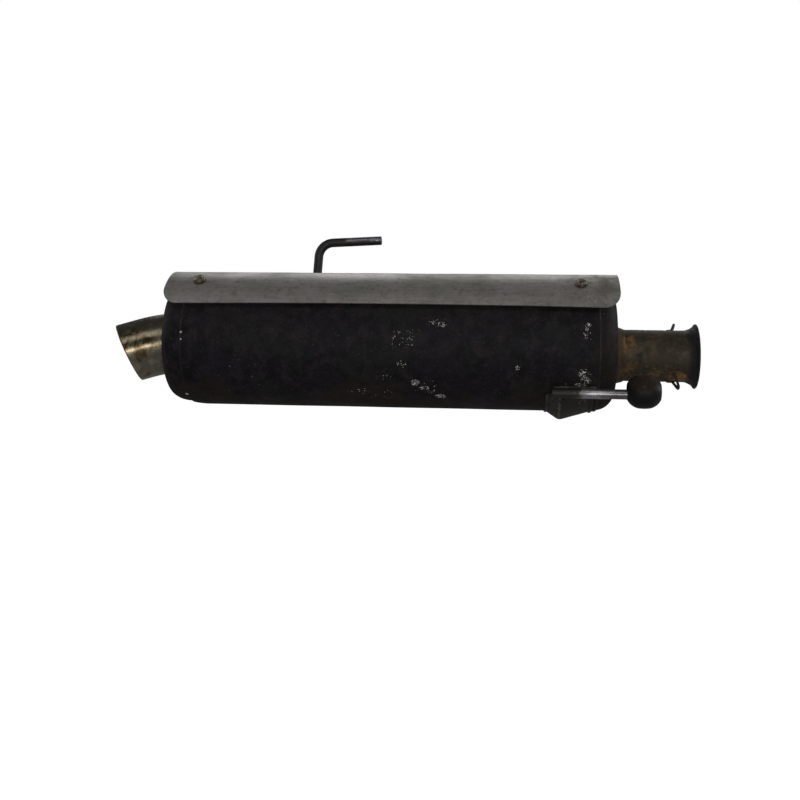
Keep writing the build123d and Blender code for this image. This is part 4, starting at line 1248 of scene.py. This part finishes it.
# The round plug weld on the gusset's long front slope.
PLUG_FROM_FRONT = 8.9 * MM
PLUG_R = 3.1 * MM
plug_angle = math.radians(180 + 52.2)
fall = (RIDGE_R - CAN_R) / (bracket_high.x - ridge_x)
slope = Vector((ridge_x - bracket_high.x, RIDGE_R - CAN_R)).normalized()
plug_out = Vector((0, math.cos(plug_angle), math.sin(plug_angle)))
uphill = Vector((slope.x, plug_out.y * slope.y, plug_out.z * slope.y))
sideways = Vector((0, -plug_out.z, plug_out.y))
plug_normal = sideways.cross(uphill)
if plug_normal.dot(plug_out) < 0:
    plug_normal = -plug_normal
middle = Vector((bracket_high.x - PLUG_FROM_FRONT, 0, CAN_Z))
middle += plug_out * (CAN_R + PLUG_FROM_FRONT * fall - 0.2 * MM)
points = loop(middle, uphill, sideways, PLUG_R, 40)
weld("weld_gusset_plug", points, [plug_normal] * 40, 0.9 * MM, GRIT_WELD, closed=True)

# ---- Isolator ---------------------------------------------------------------------------------
iso_x = (isolator_low.x + isolator_high.x) / 2
iso_z = (isolator_low.z + isolator_high.z) / 2
iso_r = (isolator_high.z - isolator_low.z) / 2
shoulder = (isolator_high.x - isolator_low.x) / 2 - ISO_BAND_HALF
drop = iso_r - ISO_END_R
curve = (shoulder * shoulder + drop * drop) / (2 * drop)
curve_turn = math.asin(shoulder / curve)
bore_r = ISO_BORE_R + 0.06 * MM
ISO_COUNT = 96


def rubber_skin(x, angle):
    place = (x, 0.016 * math.sin(angle), 0.016 * math.cos(angle))
    return -0.00018 * abs(rough(place, 170, 3))


def shoulder_point(cx, turn):
    """(x, r) on a shoulder's arc, turned away from the middle band."""
    return cx + curve * math.sin(turn), iso_r - curve + curve * math.cos(turn)


def iso_face(x, sign):
    """Rings across an end face, from its rim to the off-centre bore."""
    face = []
    for i in range(1, 6):
        share = i / 5
        r = ISO_END_R + (ISO_BORE_R + 0.35 * MM - ISO_END_R) * share
        z = iso_z + (low_z - iso_z) * share
        face.append(circle(x, low_y, z, r, ISO_COUNT))
    face.append(circle(x - sign * 0.3 * MM, low_y, low_z, bore_r, ISO_COUNT))
    return face


band = (iso_x - ISO_BAND_HALF, iso_x + ISO_BAND_HALF)
line = [shoulder_point(band[0], -curve_turn * (1 - i / 14)) for i in range(14)]
line += span((band[0], iso_r), (band[1], iso_r), 10)
line += [shoulder_point(band[1], curve_turn * i / 14) for i in range(15)]
rings = lathe(line, iso_z, ISO_COUNT, rubber_skin, cy=low_y)
rings += iso_face(isolator_high.x, 1)
for i in range(1, 12):
    x = isolator_high.x + (isolator_low.x - isolator_high.x) * i / 12
    rings.append(circle(x, low_y, low_z, bore_r, ISO_COUNT))
rings += iso_face(isolator_low.x, -1)[::-1]
piece("rubber_isolator", *skin(rings, along=True), RUBBER, body="isolator",
      stands_for=("lower_isolator",), slot="isolator_rubber")

# ---- CAD nodes that stay, with their finishes --------------------------------------------------
KEPT = {
    "shield_standoffs": PAINT,
    "top_hanger_pad": PAINT,
    "inner_liner": STEEL,
    "body_packing": FIBRE,
    "front_baffle": STEEL,
    "middle_baffle": STEEL,
    "rear_baffle": STEEL,
    "inlet_core": STEEL,
    "transfer_tube_outer": STEEL,
    "transfer_tube_inner": STEEL,
    "outlet_core": STEEL,
    "spark_screen": TAIL,
    "spark_screen_ring": TAIL,
}
for node, material in KEPT.items():
    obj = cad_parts[node]
    obj.data.materials.clear()
    obj.data.materials.append(material)

# ---- Floor, light and camera ------------------------------------------------------------------
low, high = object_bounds()
centre = (low + high) / 2
FLOOR_DROP = 0.28
bpy.ops.mesh.primitive_grid_add(
    x_subdivisions=8, y_subdivisions=8, size=14, location=(centre.x, 0, low.z - FLOOR_DROP)
)
floor = bpy.context.object
floor.name = "floor"
s = Shader("pale_floor")
pale = s.mix(s.noise(3, 3, 0.5), (0.40, 0.40, 0.40), (0.44, 0.44, 0.44))
rays = s.tree.nodes.new("ShaderNodeLightPath").outputs["Is Camera Ray"]
glow = s.times(rays, 0.985)
floor.data.materials.append(
    s.finish(pale, 0.95, specular=0.0, Emission_Color=(1, 1, 1), Emission_Strength=glow)
)

bpy.context.scene.view_settings.view_transform = "Standard"
world = bpy.context.scene.world or bpy.data.worlds.new("studio")
bpy.context.scene.world = world
world.use_nodes = True
tree = world.node_tree
tree.nodes.clear()
choose = tree.nodes.new("ShaderNodeMixShader")
rays = tree.nodes.new("ShaderNodeLightPath").outputs["Is Camera Ray"]
tree.links.new(rays, choose.inputs[0])
# The pieces are lit by a faint cool fill; the camera sees plain white behind them.
for slot, colour, strength in ((1, (0.93, 0.96, 1.0, 1), 0.09), (2, (1, 1, 1, 1), 1.0)):
    background = tree.nodes.new("ShaderNodeBackground")
    background.inputs[0].default_value = colour
    background.inputs[1].default_value = strength
    tree.links.new(background.outputs[0], choose.inputs[slot])
tree.links.new(choose.outputs[0], tree.nodes.new("ShaderNodeOutputWorld").inputs[0])


def softbox(name, azimuth, elevation, distance, width, height, power):
    """An area light aimed at the can; azimuth in degrees from the camera's side towards the inlet."""
    a, e = math.radians(azimuth), math.radians(elevation)
    data = bpy.data.lights.new(name, "AREA")
    data.shape = "RECTANGLE"
    data.size, data.size_y = width, height
    data.energy = power
    lamp = bpy.data.objects.new(name, data)
    aim = Vector((centre.x, 0, CAN_Z))
    lamp.location = aim + Vector(
        (math.sin(a) * math.cos(e), -math.cos(a) * math.cos(e), math.sin(e))
    ) * distance
    lamp.rotation_euler = (aim - lamp.location).to_track_quat("-Z", "Y").to_euler()
    bpy.context.scene.collection.objects.link(lamp)


softbox("front_strip", 8, 1, 2.0, 1.9, 0.32, 16)
softbox("top_box", 0, 44, 2.0, 2.2, 0.7, 8)
softbox("back_box", 180, 38, 2.2, 2.0, 0.8, 12)
softbox("inlet_side", 100, 20, 2.0, 0.9, 0.9, 16)
softbox("tail_side", 262, 20, 2.0, 0.9, 0.9, 8)

CAMERA_AWAY = 1.126
CAMERA_AIM_X = -276.4 * MM
YAW, ROLL = math.radians(5.3), math.radians(-0.9)
aim = Vector((CAMERA_AIM_X, 0, CAN_Z))
forward = Vector((-math.sin(YAW), math.cos(YAW), 0))
camera_data = bpy.data.cameras.new("camera")
camera_data.sensor_width = 36
camera_data.lens = 50.67
camera_data.shift_y = -0.070375
camera = bpy.data.objects.new("camera", camera_data)
right = forward.cross(Vector((0, 0, 1))).normalized()
up = right.cross(forward)
turned = Matrix.Rotation(ROLL, 3, forward)
right, up = turned @ right, turned @ up
camera.matrix_world = Matrix.Translation(aim - forward * CAMERA_AWAY) @ Matrix(
    (
        (right.x, up.x, -forward.x, 0),
        (right.y, up.y, -forward.y, 0),
        (right.z, up.z, -forward.z, 0),
        (0, 0, 0, 1),
    )
)
bpy.context.scene.collection.objects.link(camera)
bpy.context.scene.camera = camera
